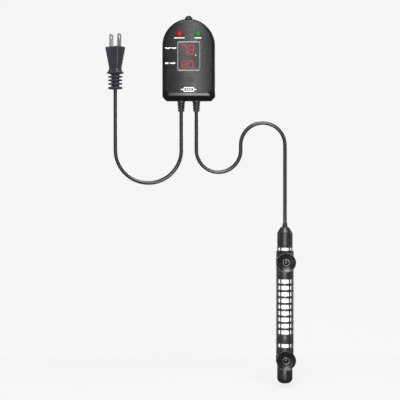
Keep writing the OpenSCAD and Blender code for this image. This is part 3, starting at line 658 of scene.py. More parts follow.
def right_half(side, low, corner):
    """Right half of the case's outline, from the end of its bottom edge to the top of the arch."""
    half = HALF_W - side
    bottom = BOTTOM + low
    run = 1.2                                   # how far the rounding of the chamfer runs past it
    chamfer = [(half - corner - run, bottom), (half - corner, bottom), (half, bottom + corner),
               (half, bottom + corner + run)]
    points = rounded(chamfer, run, 3, closed=False)
    start = points[-1].y
    points += [Vector((half, start + (ARCH_Z - start) * i / 12)) for i in range(1, 12)]
    return points + arc((0, ARCH_Z), half, 0, 90, 24)


def case_ring(side, low, corner, depth_at):
    """Closed outline of the case. depth_at(x, share) gives a depth, with share 1 along the bottom."""
    half = right_half(side, low, corner)
    reach = half[0].x
    bottom = [(Vector((reach * (2 * i / COLUMNS - 1), half[0].y)), 1.0) for i in range(COLUMNS)]
    right = [(p, max(0.0, 1 - i / (CORNER_POINTS - 1))) for i, p in enumerate(half)]
    left = [(Vector((-p.x, p.y)), share) for p, share in right[-2:0:-1]]
    return [Vector((p.x, -depth_at(p.x, share), p.y)) for p, share in bottom + right + left]


def quarter(width, depth, steps):
    """Quarter-round edge as (inset, drop below the face), from the side to the face."""
    turns = [math.pi / 2 * i / steps for i in range(steps + 1)]
    return [(width * (1 - math.cos(t)), depth * (1 - math.sin(t))) for t in turns]


def case_skin(bm, wall, face, seam, edge, foot):
    """One skin of a case half, from the seam to its face. edge and foot are the profiles of the
    rounding at the sides and at the bottom, with as many points in each."""
    sign = 1 if face(0) > seam else -1

    def ring(side, low):
        def depth_at(x, share):
            drop = side[1] * (1 - share) + low[1] * share
            return face(x) - sign * (wall + drop)
        return case_ring(side[0] + wall, low[0] + wall, CORNER - wall / 2, depth_at)

    lip = 0.25                                  # small bevel at the seam
    rings = [case_ring(lip + wall, lip + wall, CORNER - wall / 2, lambda x, share: seam),
             case_ring(wall, wall, CORNER - wall / 2, lambda x, share: seam + sign * lip)]
    rings += [ring(side, low) for side, low in zip(edge, foot)]
    loft(bm, rings, caps=False)
    rows = []
    for p in right_half(edge[-1][0] + wall, foot[-1][0] + wall, CORNER - wall / 2):
        xs = [p.x * (2 * i / COLUMNS - 1) for i in range(COLUMNS + 1)]
        rows.append([Vector((x, -(face(x) - sign * wall), p.y)) for x in xs])
    loft(bm, rows, caps=False, closed=False)
    return rings[0]


def case_half(face, seam, edge, foot):
    """Hollow half of the case: an outer skin, an inner skin and the rim between them."""
    bm = bmesh.new()
    outer = case_skin(bm, 0, face, seam, edge, foot)
    inner = case_skin(bm, WALL, face, seam, edge, foot)
    loft(bm, [outer, inner], caps=False)
    return bm


def lug_outline(inset):
    """The lug on top of the arch: a round top that flares a little where it meets the arch."""
    radius = 4.6
    centre_z = LUG_TOP - radius
    flare = [(9.4, -8.4), (8.3, -5.6), (6.4, -4.95), (5.1, -4.2), (4.5, -3.5), (4.44, -3.4)]
    side = [Vector((x - inset, LUG_TOP + z - inset / 2)) for x, z in rounded(flare, 1.0, 2, closed=False)]
    cap = arc((0, centre_z), radius - inset, 18, 162, 16)
    return side[:-1] + cap + [Vector((-p.x, p.y)) for p in reversed(side[:-1])]


def lug(seam, end, soften=1.1):
    """Half of the lug, with a soft edge at its outer face."""
    sign = 1 if end > seam else -1
    bm = bmesh.new()
    rings = [at_depth(lug_outline(0), seam)]
    for i in range(5):
        t = i / 4 * math.pi / 2
        rings.append(at_depth(lug_outline(soften * (1 - math.cos(t))), end - sign * soften * (1 - math.sin(t))))
    loft(bm, rings)
    return bm


BOSSES = [(x, BOTTOM + h) for x, h in ((-26.6, 12.5), (26.6, 12.5), (-21.6, 82), (21.6, 82))]
BOARD_POSTS = [(x, BOTTOM + h) for x, h in ((-18, 18), (18, 18), (-19, 70), (19, 70))]
CLAMP_POSTS = [(-17.5, BOTTOM + 8.4), (17.5, BOTTOM + 8.4)]
OUTLETS = (POWER_PIVOT.x, LEAD_PIVOT.x)


def front_shell():
    """Front half of the case, with its posts, its bores and the openings for display, lamps and button."""
    foot = rounded(FRONT_FOOT, 1.1, 3, closed=False)
    bm = case_half(front_depth, SEAM + 0.05, quarter(*FRONT_EDGE, len(foot) - 1), foot)
    bm = join(bm, lug(SEAM + 0.05, 20))
    board_front = -box_mm("circuit_board")[0].y + 0.05
    posts = [facing_pin(p, 3.5, SEAM + 0.05, 24.4) for p in BOSSES]
    posts += [facing_pin(p, 2.6, board_front, 24.6) for p in BOARD_POSTS]
    posts += [facing_pin(p, 2.6, CORD_DEPTH - CORD_R, 24.3) for p in CLAMP_POSTS]
    bm = join(bm, *posts)
    bores = [facing_pin(p, 1.45, SEAM - 1, 22.5, 24) for p in BOSSES]
    bores += [facing_pin(p, 0.95, board_front - 1, 22.5, 20) for p in BOARD_POSTS]
    bores += [facing_pin(p, 0.95, 8, 19, 20) for p in CLAMP_POSTS]
    bores += [upright(x, 4.1, BOTTOM - 1, BOTTOM + 3) for x in OUTLETS]
    openings = [prism(round_rect(28.1, 35.7, 2.2), 26.35, 30, (0, DISPLAY_Z)),
                prism(round_rect(25.1, 32.7, 1.25), 25.8, 30, (0, DISPLAY_Z)),
                prism(round_rect(22.4, 30, 0.8), 20, 30, (0, DISPLAY_Z)),
                prism(pill(12.6, 6.6), 20, 30, (0, BUTTON_Z))]
    openings += [prism(lamp_outline(0.06), 20, 30, (x, LAMP_Z)) for x in (-LAMP_X, LAMP_X)]
    bm = cut(bm, *bores, *openings)
    make_piece("case_front", bm, CASE, "controller", ["front_shell"])


def keyhole(radius, slot_r, length=7):
    """Round opening with a narrower slot above it, both centred on the keyhole axis."""
    meet = math.degrees(math.acos(slot_r / radius))
    lower = arc((0, 0), radius, 180 - meet, 360 + meet, 30)
    return lower + arc((0, length), slot_r, 0, 180, 16)


def back_shell():
    """Back half of the case, with its screw bosses and the pocket that the wall screw hooks into."""
    edge = quarter(BACK_EDGE, BACK_EDGE, 6)
    bm = case_half(back_depth, SEAM, edge, edge)
    bm = join(bm, lug(SEAM, 6))
    bm = join(bm, *[facing_pin(p, 3.9, 1, SEAM) for p in BOSSES])
    bm = join(bm, prism(keyhole(5.61, 5.6), 1, 6.4))
    holes = [facing_pin(p, 1.6, -1, SEAM + 1, 24) for p in BOSSES]
    holes += [facing_pin(p, 2.9, -1, 4, 32) for p in BOSSES]
    holes += [prism(keyhole(3.6, 2), -1, 3), prism(keyhole(4.21, 4.2), WALL, 5)]
    holes += [upright(x, 4.1, BOTTOM - 1, BOTTOM + 3) for x in OUTLETS]
    bm = cut(bm, *holes)
    make_piece("case_back", bm, CASE, "controller", ["back_shell"])


def case_screws():
    """Four pan-head screws with a cross recess, sunk in the back of the case."""
    head = -box_mm("case_screws")[1].y
    bm = bmesh.new()
    for x, z in BOSSES:
        place = Matrix.Translation((x, 0, z)) @ Matrix.Rotation(math.pi / 2, 4, "X")
        profile = [(0, head), (1.2, head), (2.2, head + 0.25), (2.6, head + 0.8), (2.7, head + 1.6),
                   (2.6, head + 1.9), (1.4, head + 1.95), (1.4, head + 16), (0.9, head + 16.9), (0, head + 16.9)]
        screw = turned(rounded(profile, 0.3, 2), place, 32)
        cross = [prism(round_rect(a, b, 0.1, 2), head - 1, head + 1.1, (x, z)) for a, b in ((2.9, 0.7), (0.7, 2.9))]
        add(bm, cut(screw, *cross))
    make_piece("case_screw_set", bm, STEEL, "controller", ["case_screws"])


# ------------------------------------------------------------------ front of the case

def display_bezel():
    """Light frame round the display, with rolled edges."""
    top = -DISPLAY_LOW.y
    low = -DISPLAY_HIGH.y
    bm = bmesh.new()
    outer, inner = (28, 35.6, 2.2), (25, 32.6, 1.2)

    def ring(size, grow, depth):
        width, height, radius = size
        return at_depth(round_rect(width + 2 * grow, height + 2 * grow, radius + grow), depth, (0, DISPLAY_Z))
    rings = [ring(outer, 0, low), ring(outer, 0, top - 0.45), ring(outer, -0.12, top - 0.16),
             ring(outer, -0.4, top), ring(inner, 0.4, top), ring(inner, 0.12, top - 0.16),
             ring(inner, 0, top - 0.45), ring(inner, 0, low), ring(outer, 0, low)]
    loft(bm, rings, caps=False)
    make_piece("display_frame", bm, BEZEL, "controller", ["display_bezel"])


def display_window():
    """Smoked window, a little domed, with a softened rim."""
    low, high = -box_mm("display_window")[1].y, -box_mm("display_window")[0].y
    bm = bmesh.new()
    rings = [at_depth(round_rect(24.9 - 2 * i, 32.5 - 2 * i, 1.15), depth, (0, DISPLAY_Z))
             for i, depth in ((0, low), (0, high - 0.3), (0.1, high - 0.1), (0.3, high))]
    loft(bm, rings)
    make_piece("smoked_window", bm, WINDOW, "controller", ["display_window"])


SEGMENTS = {7: "abc", 8: "abcdefg", 0: "abcdef"}
DIGIT_DEPTH = (25.0, 25.25)                     # lit segments, from back to front


def bar(a, b, width):
    """Six-sided segment of a digit, from a to b."""
    along = (b - a).normalized()
    side = Vector((-along.y, along.x)) * width / 2
    gap = along * (width * 0.62)
    return [a + along * 0.12, a + gap + side, b - gap + side, b - along * 0.12, b - gap - side, a + gap - side]


def digit_bars(centre, width, height, stroke):
    """The seven segments of one digit, by letter."""
    x, y = width / 2, height / 2
    corners = {"tl": (-x, y), "tr": (x, y), "ml": (-x, 0), "mr": (x, 0), "bl": (-x, -y), "br": (x, -y)}
    at = {name: Vector(p) + Vector(centre) for name, p in corners.items()}
    ends = {"a": ("tl", "tr"), "b": ("tr", "mr"), "c": ("mr", "br"), "d": ("bl", "br"),
            "e": ("ml", "bl"), "f": ("tl", "ml"), "g": ("ml", "mr")}
    return {name: bar(at[p], at[q], stroke) for name, (p, q) in ends.items()}


def display_digits():
    """Two rows of two digits, the lit segments apart from the unlit ones, and a white status dot."""
    lit, unlit, dot = bmesh.new(), bmesh.new(), bmesh.new()
    low, high = DIGIT_DEPTH
    rows = ((8.0, 6.2, 10.4, 1.5, (7, 8)), (-9.9, 5.4, 8.4, 1.35, (8, 0)))
    for rise, width, height, stroke, digits in rows:
        for i, digit in enumerate(digits):
            centre = (-1.5 + (i - 0.5) * (width + 2.6), DISPLAY_Z + rise)
            for name, outline in digit_bars(centre, width, height, stroke).items():
                target = lit if name in SEGMENTS[digit] else unlit
                loft(target, [at_depth(outline, low), at_depth(outline, high)])
    loft(dot, [at_depth(circle(r, 24), d, (8.4, DISPLAY_Z + 1.4)) for r, d in ((0.8, low), (0.8, high), (0.5, high + 0.2))])
    make_piece("lit_segments", lit, RED_LIGHT, "controller")
    make_piece("unlit_segments", unlit, UNLIT, "controller")
    make_piece("status_dot", dot, WHITE_LIGHT, "controller")


def lamp_lens(name, x, material, node):
    """Rounded triangular lens with a domed face and a flange behind the wall."""
    tip = -box_mm(node)[0].y
    bm = bmesh.new()
    wall = 24.95
    rings = [at_depth(lamp_outline(1), wall - 0.95), at_depth(lamp_outline(1), wall),
             at_depth(lamp_outline(0), wall)]
    rise = 0.9
    for i in range(6):
        t = i / 5 * math.pi / 2
        grow = -1.5 * (1 - math.cos(t))
        rings.append(at_depth(lamp_outline(grow), tip - rise + rise * math.sin(t)))
    shrink = [at_depth(lamp_outline(-1.5), tip)]
    rings += shrink
    rings = [[p + Vector((x, 0, LAMP_Z)) for p in ring] for ring in rings]
    loft(bm, rings)
    make_piece(name, bm, material, "controller", [node])


def set_button():
    """Low rubber button with a rounded rim, a shallow dish and the stem that pushes the switch."""
    top = -BUTTON_LOW.y
    bm = bmesh.new()
    wall = 24.95
    stack = [(0.9, wall - 0.95), (0.9, wall), (0, wall), (0, top - 0.6), (-0.15, top - 0.2),
             (-0.5, top), (-0.9, top), (-1.5, top - 0.12), (-2.4, top - 0.2)]
    loft(bm, [at_depth(pill(12.4 + 2 * g, 6.4 + 2 * g), d, (0, BUTTON_Z)) for g, d in stack])
    bm = join(bm, facing_pin((0, BUTTON_Z), 1.6, -BUTTON_HIGH.y, wall - 0.5, 24))
    make_piece("button_cap", bm, RUBBER, "set_button", ["set_button"])


PRINT_T = 0.07                                  # how far the print stands off the case


def stroke(bm, points, width):
    """Printed line along (x, height above the bottom) points, lying on the crowned front."""
    rings = []
    path = [Vector(p) for p in points]
    for i, p in enumerate(path):
        ahead = (path[min(i + 1, len(path) - 1)] - path[max(i - 1, 0)]).normalized()
        side = Vector((-ahead.y, ahead.x)) * width / 2
        ring = []
        for at, lift in ((p + side, PRINT_T), (p - side, PRINT_T), (p - side, -PRINT_T), (p + side, -PRINT_T)):
            ring.append(Vector((at.x, -(front_depth(at.x) + lift), BOTTOM + at.y)))
        rings.append(ring)
    loft(bm, rings)


def divided(points, step):
    """The closed outline with points added, so that no side is longer than step."""
    out = []
    for a, b in zip(points, points[1:] + points[:1]):
        count = max(1, math.ceil((b - a).length / step))
        out += [a.lerp(b, i / count) for i in range(count)]
    return out


def mark_ring(outline, grow, height, face):
    """Outline of a printed box, grown outwards, on the outer (1) or inner (-1) side of the print."""
    wide = max(p.x for p in outline)
    tall = max(p.y for p in outline)
    ring = []
    for p in outline:
        x, z = p.x * (1 + grow / wide), p.y * (1 + grow / tall)
        ring.append(Vector((x, -(front_depth(x) + face * PRINT_T), BOTTOM + height + z)))
    return ring


def line(x0, x1, height, steps=8):
    return [(x0 + (x1 - x0) * i / steps, height) for i in range(steps + 1)]


def wave(x0, x1, height, swing, waves, steps=24):
    spread = [i / steps for i in range(steps + 1)]
    return [(x0 + (x1 - x0) * t, height + swing * math.sin(2 * math.pi * waves * t)) for t in spread]


def printed_marks():
    """Generic marks: a line under each lamp, two marks beside the display, and the drawing sign of a
    heating element below it: a box with three bars and a lead at each side."""
    bm = bmesh.new()
    stroke(bm, line(-LAMP_X - 6.4, -LAMP_X + 6.4, 74.4), 1.05)
    stroke(bm, line(LAMP_X - 4, LAMP_X + 4, 74.4), 1.05)
    make_piece("lamp_marks", bm, PRINT, "controller")
    bm = bmesh.new()
    stroke(bm, wave(-28.4, -22.0, 62.2, 0.3, 1.5), 1.3)
    stroke(bm, wave(-20.8, -14.9, 62.2, 0.3, 1.5), 1.3)
    stroke(bm, line(-28.4, -24.4, 44), 1.8)
    stroke(bm, line(-22.8, -16.2, 44), 1.25)
    stroke(bm, [(-18.2, 43), (-18.2, 45.1)], 1.4)
    make_piece("display_marks", bm, PRINT, "controller")
    bm = bmesh.new()
    box = divided(round_rect(12.6, 5.4, 0.8, 3), 1.5)
    loft(bm, [mark_ring(box, 0.0, 12.4, 1), mark_ring(box, 0.0, 12.4, -1), mark_ring(box, -1.0, 12.4, -1),
              mark_ring(box, -1.0, 12.4, 1), mark_ring(box, 0.0, 12.4, 1)], caps=False)
    for x in (-2.6, 0, 2.6):
        stroke(bm, [(x, 11.3), (x, 13.5)], 1.15)
    for side in (-1, 1):
        stroke(bm, [(side * 6.2, 12.4), (side * 9.3, 12.4)], 1.25)
    make_piece("heat_sign", bm, PRINT, "controller")


# ------------------------------------------------------------------ boots and cords

def groove(radius, height, depth=0.8, half=0.75):
    """Rounded groove in a lathed side, listed downwards."""
    return [(radius, height + half + 0.25), (radius - 0.12, height + half), (radius - depth + 0.1, height + half * 0.45),
            (radius - depth, height), (radius - depth + 0.1, height - half * 0.45), (radius - 0.12, height - half),
            (radius, height - half - 0.25)]


def case_boot(name, x, node):
    """Strain-relief boot with three grooves and the flange that holds it in the case."""
    length = 13.2
    wide, narrow = 4.85, 4.0
    bore = CORD_R + 0.05
    profile = [(bore, 3.85), (5.5, 3.85), (5.7, 3.65), (5.7, 2.15), (5.55, 2.05), (4.0, 2.05), (4.0, -0.05),
               (wide - 0.3, -0.05), (wide, -0.35)]
    for share in (0.3, 0.55, 0.8):
        profile += groove(wide + (narrow - wide) * share, -length * share)
    profile += [(narrow, 0.5 - length), (narrow - 0.15, 0.15 - length), (narrow - 0.5, -length), (bore, -length)]
    bm = turned(profile, Matrix.Translation((x, -CORD_DEPTH, BOTTOM)), 48)
    make_piece(name, bm, BOOT, "controller", [node])


def straight(a, b, step=2.5):
    count = max(1, round((b - a).length / step))
    return [a.lerp(b, i / count) for i in range(count)]


def loop(centre, radius, start, end, steps=40):
    """Points of a bend in the XZ plane, without the last one."""
    turns = [polar(radius, start + (end - start) * i / steps) for i in range(steps)]
    return [centre + Vector((t.x, 0, t.y)) for t in turns]


def smooth_path(points, rounds):
    """Relaxes a path, so that a kink becomes a bend. The ends stay."""
    for _ in range(rounds):
        inner = [(points[i - 1] + points[i] * 2 + points[i + 1]) / 4 for i in range(1, len(points) - 1)]
        points = [points[0]] + inner + [points[-1]]
    return points


def bending_cord(name, path, stands_for):
    """Cord along a path, as one piece in the world frame that rides on no body."""
    bm = bmesh.new()
    tube_along(bm, path, CORD_R - 0.02)
    piece = make_piece(name, bm, CORD, None, stands_for)
    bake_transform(piece)


def cords():
    """Both cords, each in two pieces that meet in the middle of a loop."""
    down, up = Vector((0, 0, -1)), Vector((0, 0, 1))
    stub_top = box_mm("power_cord_inlet")[1].z
    loop_z = BOTTOM - 60
    power_r = (POWER_PIVOT.x - PLUG_PIVOT.x) / 2
    centre = Vector((POWER_PIVOT.x - power_r, -CORD_DEPTH, loop_z))
    path = straight(Vector((POWER_PIVOT.x, -CORD_DEPTH, stub_top)), Vector((POWER_PIVOT.x, -CORD_DEPTH, loop_z)))
    path += loop(centre, power_r, 0, -90) + [centre + down * power_r]
    bending_cord("power_cord_case_end", path,
                 ["power_cord_inlet", "power_cord"])
    path = loop(centre, power_r, -90, -180)
    path += straight(Vector((PLUG_PIVOT.x, -CORD_DEPTH, loop_z)), PLUG_PIVOT)
    path += straight(PLUG_PIVOT, AT_PLUG @ Vector((0, 0, 11))) + straight(AT_PLUG @ Vector((0, 0, 11)), AT_PLUG @ Vector((0, 0, 53.5)))
    bending_cord("power_cord_plug_end", smooth_path(path, 5),
                 ["plug_cord_end"])

    lead_r = (HEATER_X - LEAD_PIVOT.x) / 4
    rise = loop_z + 6
    first = Vector((LEAD_PIVOT.x + lead_r, -CORD_DEPTH, loop_z))
    second = Vector((LEAD_PIVOT.x + 3 * lead_r, -CORD_DEPTH, rise))
    meet = Vector((LEAD_PIVOT.x + 2 * lead_r, -CORD_DEPTH, (loop_z + rise) / 2))
    path = straight(Vector((LEAD_PIVOT.x, -CORD_DEPTH, stub_top)), Vector((LEAD_PIVOT.x, -CORD_DEPTH, loop_z)))
    path += loop(first, lead_r, -180, 0) + [first + Vector((lead_r, 0, 0)), meet]
    bending_cord("heater_cord_case_end", path,
                 ["heater_cord_outlet", "heater_cord"])
    path = [meet] + loop(second, lead_r, 180, 0)
    path += straight(second + Vector((lead_r, 0, 0)), Vector((HEATER_X, -CORD_DEPTH, TIP_Z + 183)))
    path.append(Vector((HEATER_X, -CORD_DEPTH, TIP_Z + 183)))
    bending_cord("heater_cord_heater_end", path,
                 ["heater_cord_end"])


# ------------------------------------------------------------------ plug

def plug_ring(width, thickness, radius, height):
    return [AT_PLUG @ Vector((p.x, p.y, height)) for p in round_rect(width, thickness, radius, 5)]


def plug_body():
    """Moulded plug: ribbed strain relief, flared collar, waist and a grip that widens to its face."""
    core, rib = (9.6, 8.2), (16, 11.6)
    waist, grip = (14, 10), (21, 14.6)
    rings = []

    def ring(size, grow, height, radius=3.0):
        rings.append(plug_ring(size[0] + 2 * grow, size[1] + 2 * grow, max(radius + grow, 0.6), height))
    for middle, thick in ((13.4, 2.8), (18.4, 2), (22.7, 2), (27, 2)):
        low, high = middle - thick / 2, middle + thick / 2
        ring(core, 0, low)
        for grow, height in ((-0.7, low), (-0.25, low + 0.12), (0, low + 0.45), (0, high - 0.45),
                             (-0.25, high - 0.12), (-0.7, high)):
            ring(rib, grow, height, 2.7)
        ring(core, 0, high)
    ring(core, 0, 29.4)
    for width, thickness, height in ((11.6, 9.4, 30.1), (16.0, 11.6, 30.7), (18.0, 13.0, 31.0),
                                     (18.6, 13.4, 31.5), (18.5, 13.35, 32.2), (17.6, 12.7, 32.9),
                                     (16.1, 11.6, 33.9), (15.1, 10.8, 35.2), (14.3, 10.2, 36.8)):
        ring((width, thickness), 0, height, 2.6)
    for i in range(9):
        t = i / 8
        size = [a + (b - a) * t for a, b in zip(waist, grip)]
        ring(size, 0, 38.4 + 23.9 * t, 2.1 - 0.7 * t)
    for grow, height in ((-0.1, 62.8), (-0.3, 63.15), (-0.7, 63.4)):
        ring(grip, grow, height, 1.4)
    bm = bmesh.new()
    loft(bm, rings)
    insert_low, insert_high = 53.95, 60.55
    bore = turned([(0, 11), (CORD_R + 0.05, 11), (CORD_R + 0.05, 54), (0, 54)], AT_PLUG, 32)
    pocket = bmesh.new()
    loft(pocket, [plug_ring(15.9, 7.7, 0.4, h) for h in (insert_low, insert_high)])
    slots = bmesh.new()
    for side in (-1, 1):
        offset = Vector((side * 6.35, 0, 0))
        outline = round_rect(1.6, 6.45, 0.1, 2)
        loft(slots, [[AT_PLUG @ (Vector((p.x, p.y, h)) + offset) for p in outline] for h in (60, 65)])
    make_piece("plug_moulding", cut(bm, bore, pocket, slots), PLUG, "plug", ["plug_body"])


def plug_blades():
    """Two flat blades with bevelled tips, a hole each and rounded edges."""
    bm = bmesh.new()
    half_w, tip = 3.175, 79.4
    for side in (-1, 1):
        outline = [(-half_w, 54.5), (half_w, 54.5), (half_w, tip - 1.8), (1.9, tip), (-1.9, tip), (-half_w, tip - 1.8)]
        outline = rounded(outline, 0.5, 3)
        faces = [[Vector((side * 6.35 + t, p.x, p.y)) for p in outline] for t in (-0.75, 0.75)]
        blade = bmesh.new()
        loft(blade, faces)
        hole = turned([(0, -2), (1.95, -2), (1.95, 2), (0, 2)],
                      Matrix.Translation((side * 6.35, 0, 75.3)) @ Matrix.Rotation(math.pi / 2, 4, "Y"), 32)
        add(bm, round_edges(cut(blade, hole), 0.18, 2, 50))
    bmesh.ops.transform(bm, matrix=AT_PLUG, verts=bm.verts)
    make_piece("plug_blade_pair", bm, BLADE, "plug", ["plug_blades"])


# ------------------------------------------------------------------ heater

def heater_boot():
    bore = CORD_R + 0.05
    profile = [(bore, 184.4), (5.8, 184.4), (6, 184.6), (6, 186), (5.8, 186.2), (3.7, 186.2), (3.7, 187.2)]
    profile += [(3.62, 188.4), (3.5, 189.6), (3.38, 190.6), (3.3, 191.3)]
    for height in (192, 193.7):
        profile += [(3.28, height - 0.45), (2.85, height - 0.25), (2.8, height), (2.85, height + 0.25), (3.2, height + 0.45)]
    profile += [(3.12, 194.6), (2.9, 195), (bore, 195)]
    make_piece("heater_cord_sleeve", turned(profile, AT_HEATER, 48), BOOT, "heater", ["heater_boot"])


def top_cap():
    """Cap that the cord enters: straight below, then a soft shoulder and a cone."""
    inner = [(8.3, 172.1), (8.3, 182), (6.2, 184.3), (6.2, 186.3), (3.75, 186.3), (3.75, 190.5)]
    outer = [(4.5, 190.5), (5.5, 189.7), (7.0, 187.2), (CAP_R - 0.9, 184.9), (CAP_R - 0.15, 183.4), (CAP_R, 182),
             (CAP_R, 169.2), (CAP_R - 0.12, 168.7), (CAP_R - 0.3, 168.4), (CAP_R - 0.12, 168.1), (CAP_R, 167.6),
             (CAP_R - 0.15, 167.1), (8.9, 167.05), (8.9, 172.1)]
    profile = inner + rounded(outer, 0.8, 3, closed=False)
    make_piece("heater_top_cap", turned(profile, AT_HEATER, 72), GUARD, "heater", ["top_cap"])


def bottom_cap():
    """Round-ended cap that the guard plugs into, with a fine ring below its rim."""
    outer = [(0, 0)] + [(CAP_R - 6.5 + p.x, 6.5 + p.y) for p in arc((0, 0), 6.5, -90, 0, 14)]
    outer += [(CAP_R, 19.6), (CAP_R - 0.14, 20), (CAP_R - 0.3, 20.3), (CAP_R - 0.14, 20.6), (CAP_R, 21),
              (CAP_R, 21.6), (CAP_R - 0.25, 21.95)]
    inner = [(8.9, 21.95), (8.9, 16.9), (8.3, 16.9), (8.3, 4.1), (0, 4.1)]
    make_piece("heater_bottom_cap", turned(outer + inner, AT_HEATER, 72), GUARD, "heater", ["bottom_cap"])


SLOT_ROWS = [(46.5, 4.4)] + [(62.8 + 7.7 * i, 5.0) for i in range(9)] + [(163.6, 3.4)]
SLOT_TURN = -92                                 # direction of the middle of the slot that faces the viewer
SLOT_HALF = 32                                  # half of a slot's width, degrees
RAIL_HALF = 6.65                                # half of a rail's width, degrees
NECKS = [(30.4, 4.9), (148.2, 4.9)]             # where the clips turn: middle, half height
NECK_R, GUARD_R, BORE_R, SPIGOT_R = 9.2, 9.5, 8.3, 8.85


def off_angle(angle, centre):
    return abs((angle - centre + 180) % 360 - 180)


def guard_is_solid(radius, angle, height):
    """Whether the slotted guard fills the point at this radius, direction and height."""
    if not 22 < height < 167:
        return radius < SPIGOT_R
    if radius > NECK_R and any(abs(height - z) < half for z, half in NECKS):
        return False
    rail = 36 < height < 161 and min(off_angle(angle, 0), off_angle(angle, 180)) < RAIL_HALF
    if radius > GUARD_R:
        return rail
    if rail and radius > SPIGOT_R:
        return True
    in_row = any(abs(height - z) < h / 2 for z, h in SLOT_ROWS)
    in_column = any(off_angle(angle, SLOT_TURN + 72 * k) < SLOT_HALF for k in range(5))
    return not (in_row and in_column)


def guard_levels():
    """Every height where the guard's section changes."""
    levels = {17, 22, 36, 161, 167, 172}
    for z, h in SLOT_ROWS:
        levels |= {z - h / 2, z + h / 2}
    for z, half in NECKS:
        levels |= {z - half, z + half}
    return sorted(levels)


def guard_angles(finest=6.5):
    """Every direction where the section changes, with wide gaps divided."""
    marks = {RAIL_HALF, 360 - RAIL_HALF, 180 - RAIL_HALF, 180 + RAIL_HALF}
    for k in range(5):
        marks |= {(SLOT_TURN + 72 * k + side * SLOT_HALF) % 360 for side in (-1, 1)}
    marks = sorted(marks)
    out = []
    for a, b in zip(marks, marks[1:] + [marks[0] + 360]):
        count = math.ceil((b - a) / finest)
        out += [a + (b - a) * i / count for i in range(count)]
    return out


def guard():
    """Slotted tube with its two rails, built from cells in radius, direction and height."""
    radii = [BORE_R, SPIGOT_R, NECK_R, GUARD_R, RAIL_R]
    angles = guard_angles()
    levels = guard_levels()
    turns = len(angles)
    bm = bmesh.new()
    verts = {}

    def vert(i, j, k):
        key = (i, j % turns, k)
        if key not in verts:
            where = polar(radii[i], angles[j % turns])
            verts[key] = bm.verts.new(AT_HEATER @ Vector((where.x, where.y, levels[k])))
        return verts[key]

    def filled(i, j, k):
        if not (0 <= i < len(radii) - 1 and 0 <= k < len(levels) - 1):
            return False
        a, b = angles[j % turns], angles[(j + 1) % turns]
        middle = (a + ((b - a) % 360) / 2) % 360
        return guard_is_solid((radii[i] + radii[i + 1]) / 2, middle, (levels[k] + levels[k + 1]) / 2)
    for i in range(len(radii) - 1):
        for j in range(turns):
            for k in range(len(levels) - 1):
                if not filled(i, j, k):
                    continue
                sides = {(-1, 0, 0): ((0, 0, 0), (0, 1, 0), (0, 1, 1), (0, 0, 1)),
                         (1, 0, 0): ((1, 0, 0), (1, 1, 0), (1, 1, 1), (1, 0, 1)),
                         (0, -1, 0): ((0, 0, 0), (1, 0, 0), (1, 0, 1), (0, 0, 1)),
                         (0, 1, 0): ((0, 1, 0), (1, 1, 0), (1, 1, 1), (0, 1, 1)),
                         (0, 0, -1): ((0, 0, 0), (1, 0, 0), (1, 1, 0), (0, 1, 0)),
                         (0, 0, 1): ((0, 0, 1), (1, 0, 1), (1, 1, 1), (0, 1, 1))}
                for (di, dj, dk), corners in sides.items():
                    if not filled(i + di, j + dj, k + dk):
                        bm.faces.new([vert(i + a, j + b, k + c) for a, b, c in corners])
    round_edges(bm, 0.14, 2, 35)
    make_piece("slotted_guard", bm, GUARD, "heater", ["guard_cage"], 30)


def cup_place(height):
    """Place of a cup: local Z points from the heater's axis to the viewer."""
    return Matrix.Translation((HEATER_X, -CORD_DEPTH, height)) @ Matrix.Rotation(math.pi / 2, 4, "X")


def clip(name, height, body, node):
    """Split ring round the guard with the round socket that holds the cup's head."""
    half = 4.6
    ring = turned([(9.25, -half), (10.8, -half), (10.8, half), (9.25, half)],
                  Matrix.Translation((HEATER_X, -CORD_DEPTH, height)), 72)
    boss = turned([(0, 8.5), (half, 8.5), (half, 14.7), (half - 0.3, 15), (0, 15)], cup_place(height), 40)
    bm = join(ring, boss)
    socket = turned([(0, 0), (3.6, 0), (3.6, 13.8), (2.1, 13.8), (2.1, 16), (0, 16)], cup_place(height), 40)
    inside = turned([(0, -9), (9.25, -9), (9.25, 9), (0, 9)], Matrix.Translation((HEATER_X, -CORD_DEPTH, height)), 72)
    split = bmesh.new()
    loft(split, [[Vector((HEATER_X + x, -CORD_DEPTH + y, height + z)) for x, y in ((-1.5, 5), (1.5, 5), (1.5, 14), (-1.5, 14))] for z in (-9, 9)])
    bm = round_edges(cut(bm, socket, inside, split), 0.35, 2, 50)
    make_piece(name, bm, GUARD, body, [node], 30)


def cup(name, height, clip_body, node):
    """Suction cup in two pieces that ride on the clip: the head and neck, and the bell, which gets a mesh of its own.
    """
    place = cup_place(height)
    head = [(0, 12.3), (2.7, 12.3), (3.2, 12.8), (3.2, 13.7), (2.0, 13.7), (2.0, 17.5), (0, 17.5)]
    make_piece(name + "_neck", turned(rounded(head, 0.25, 2), place, 40), CUP, clip_body)
    back = [(2.0, 17.55), (4.6, 17.6), (6.6, 18.5), (9.3, 20.3), (11.3, 22.1), (11.8, 22.8), (11.75, 23), (11.2, 23)]
    front = [(10.2, 22.35), (8.6, 21.5), (7.9, 21.35), (7.6, 21.05), (5.6, 20.2), (4.0, 19.75), (3.2, 19.8), (2.5, 20.3),
             (2.1, 21.2), (1.5, 21.75), (0.7, 21.9), (0, 21.92)]
    profile = [(0, 17.55)] + rounded(back, 0.8, 4, closed=False) + rounded(front, 0.8, 4, closed=False)
    bell = make_piece(name + "_bell", turned(profile, place, 72), CUP, clip_body, [node], 60)
    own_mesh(bell)


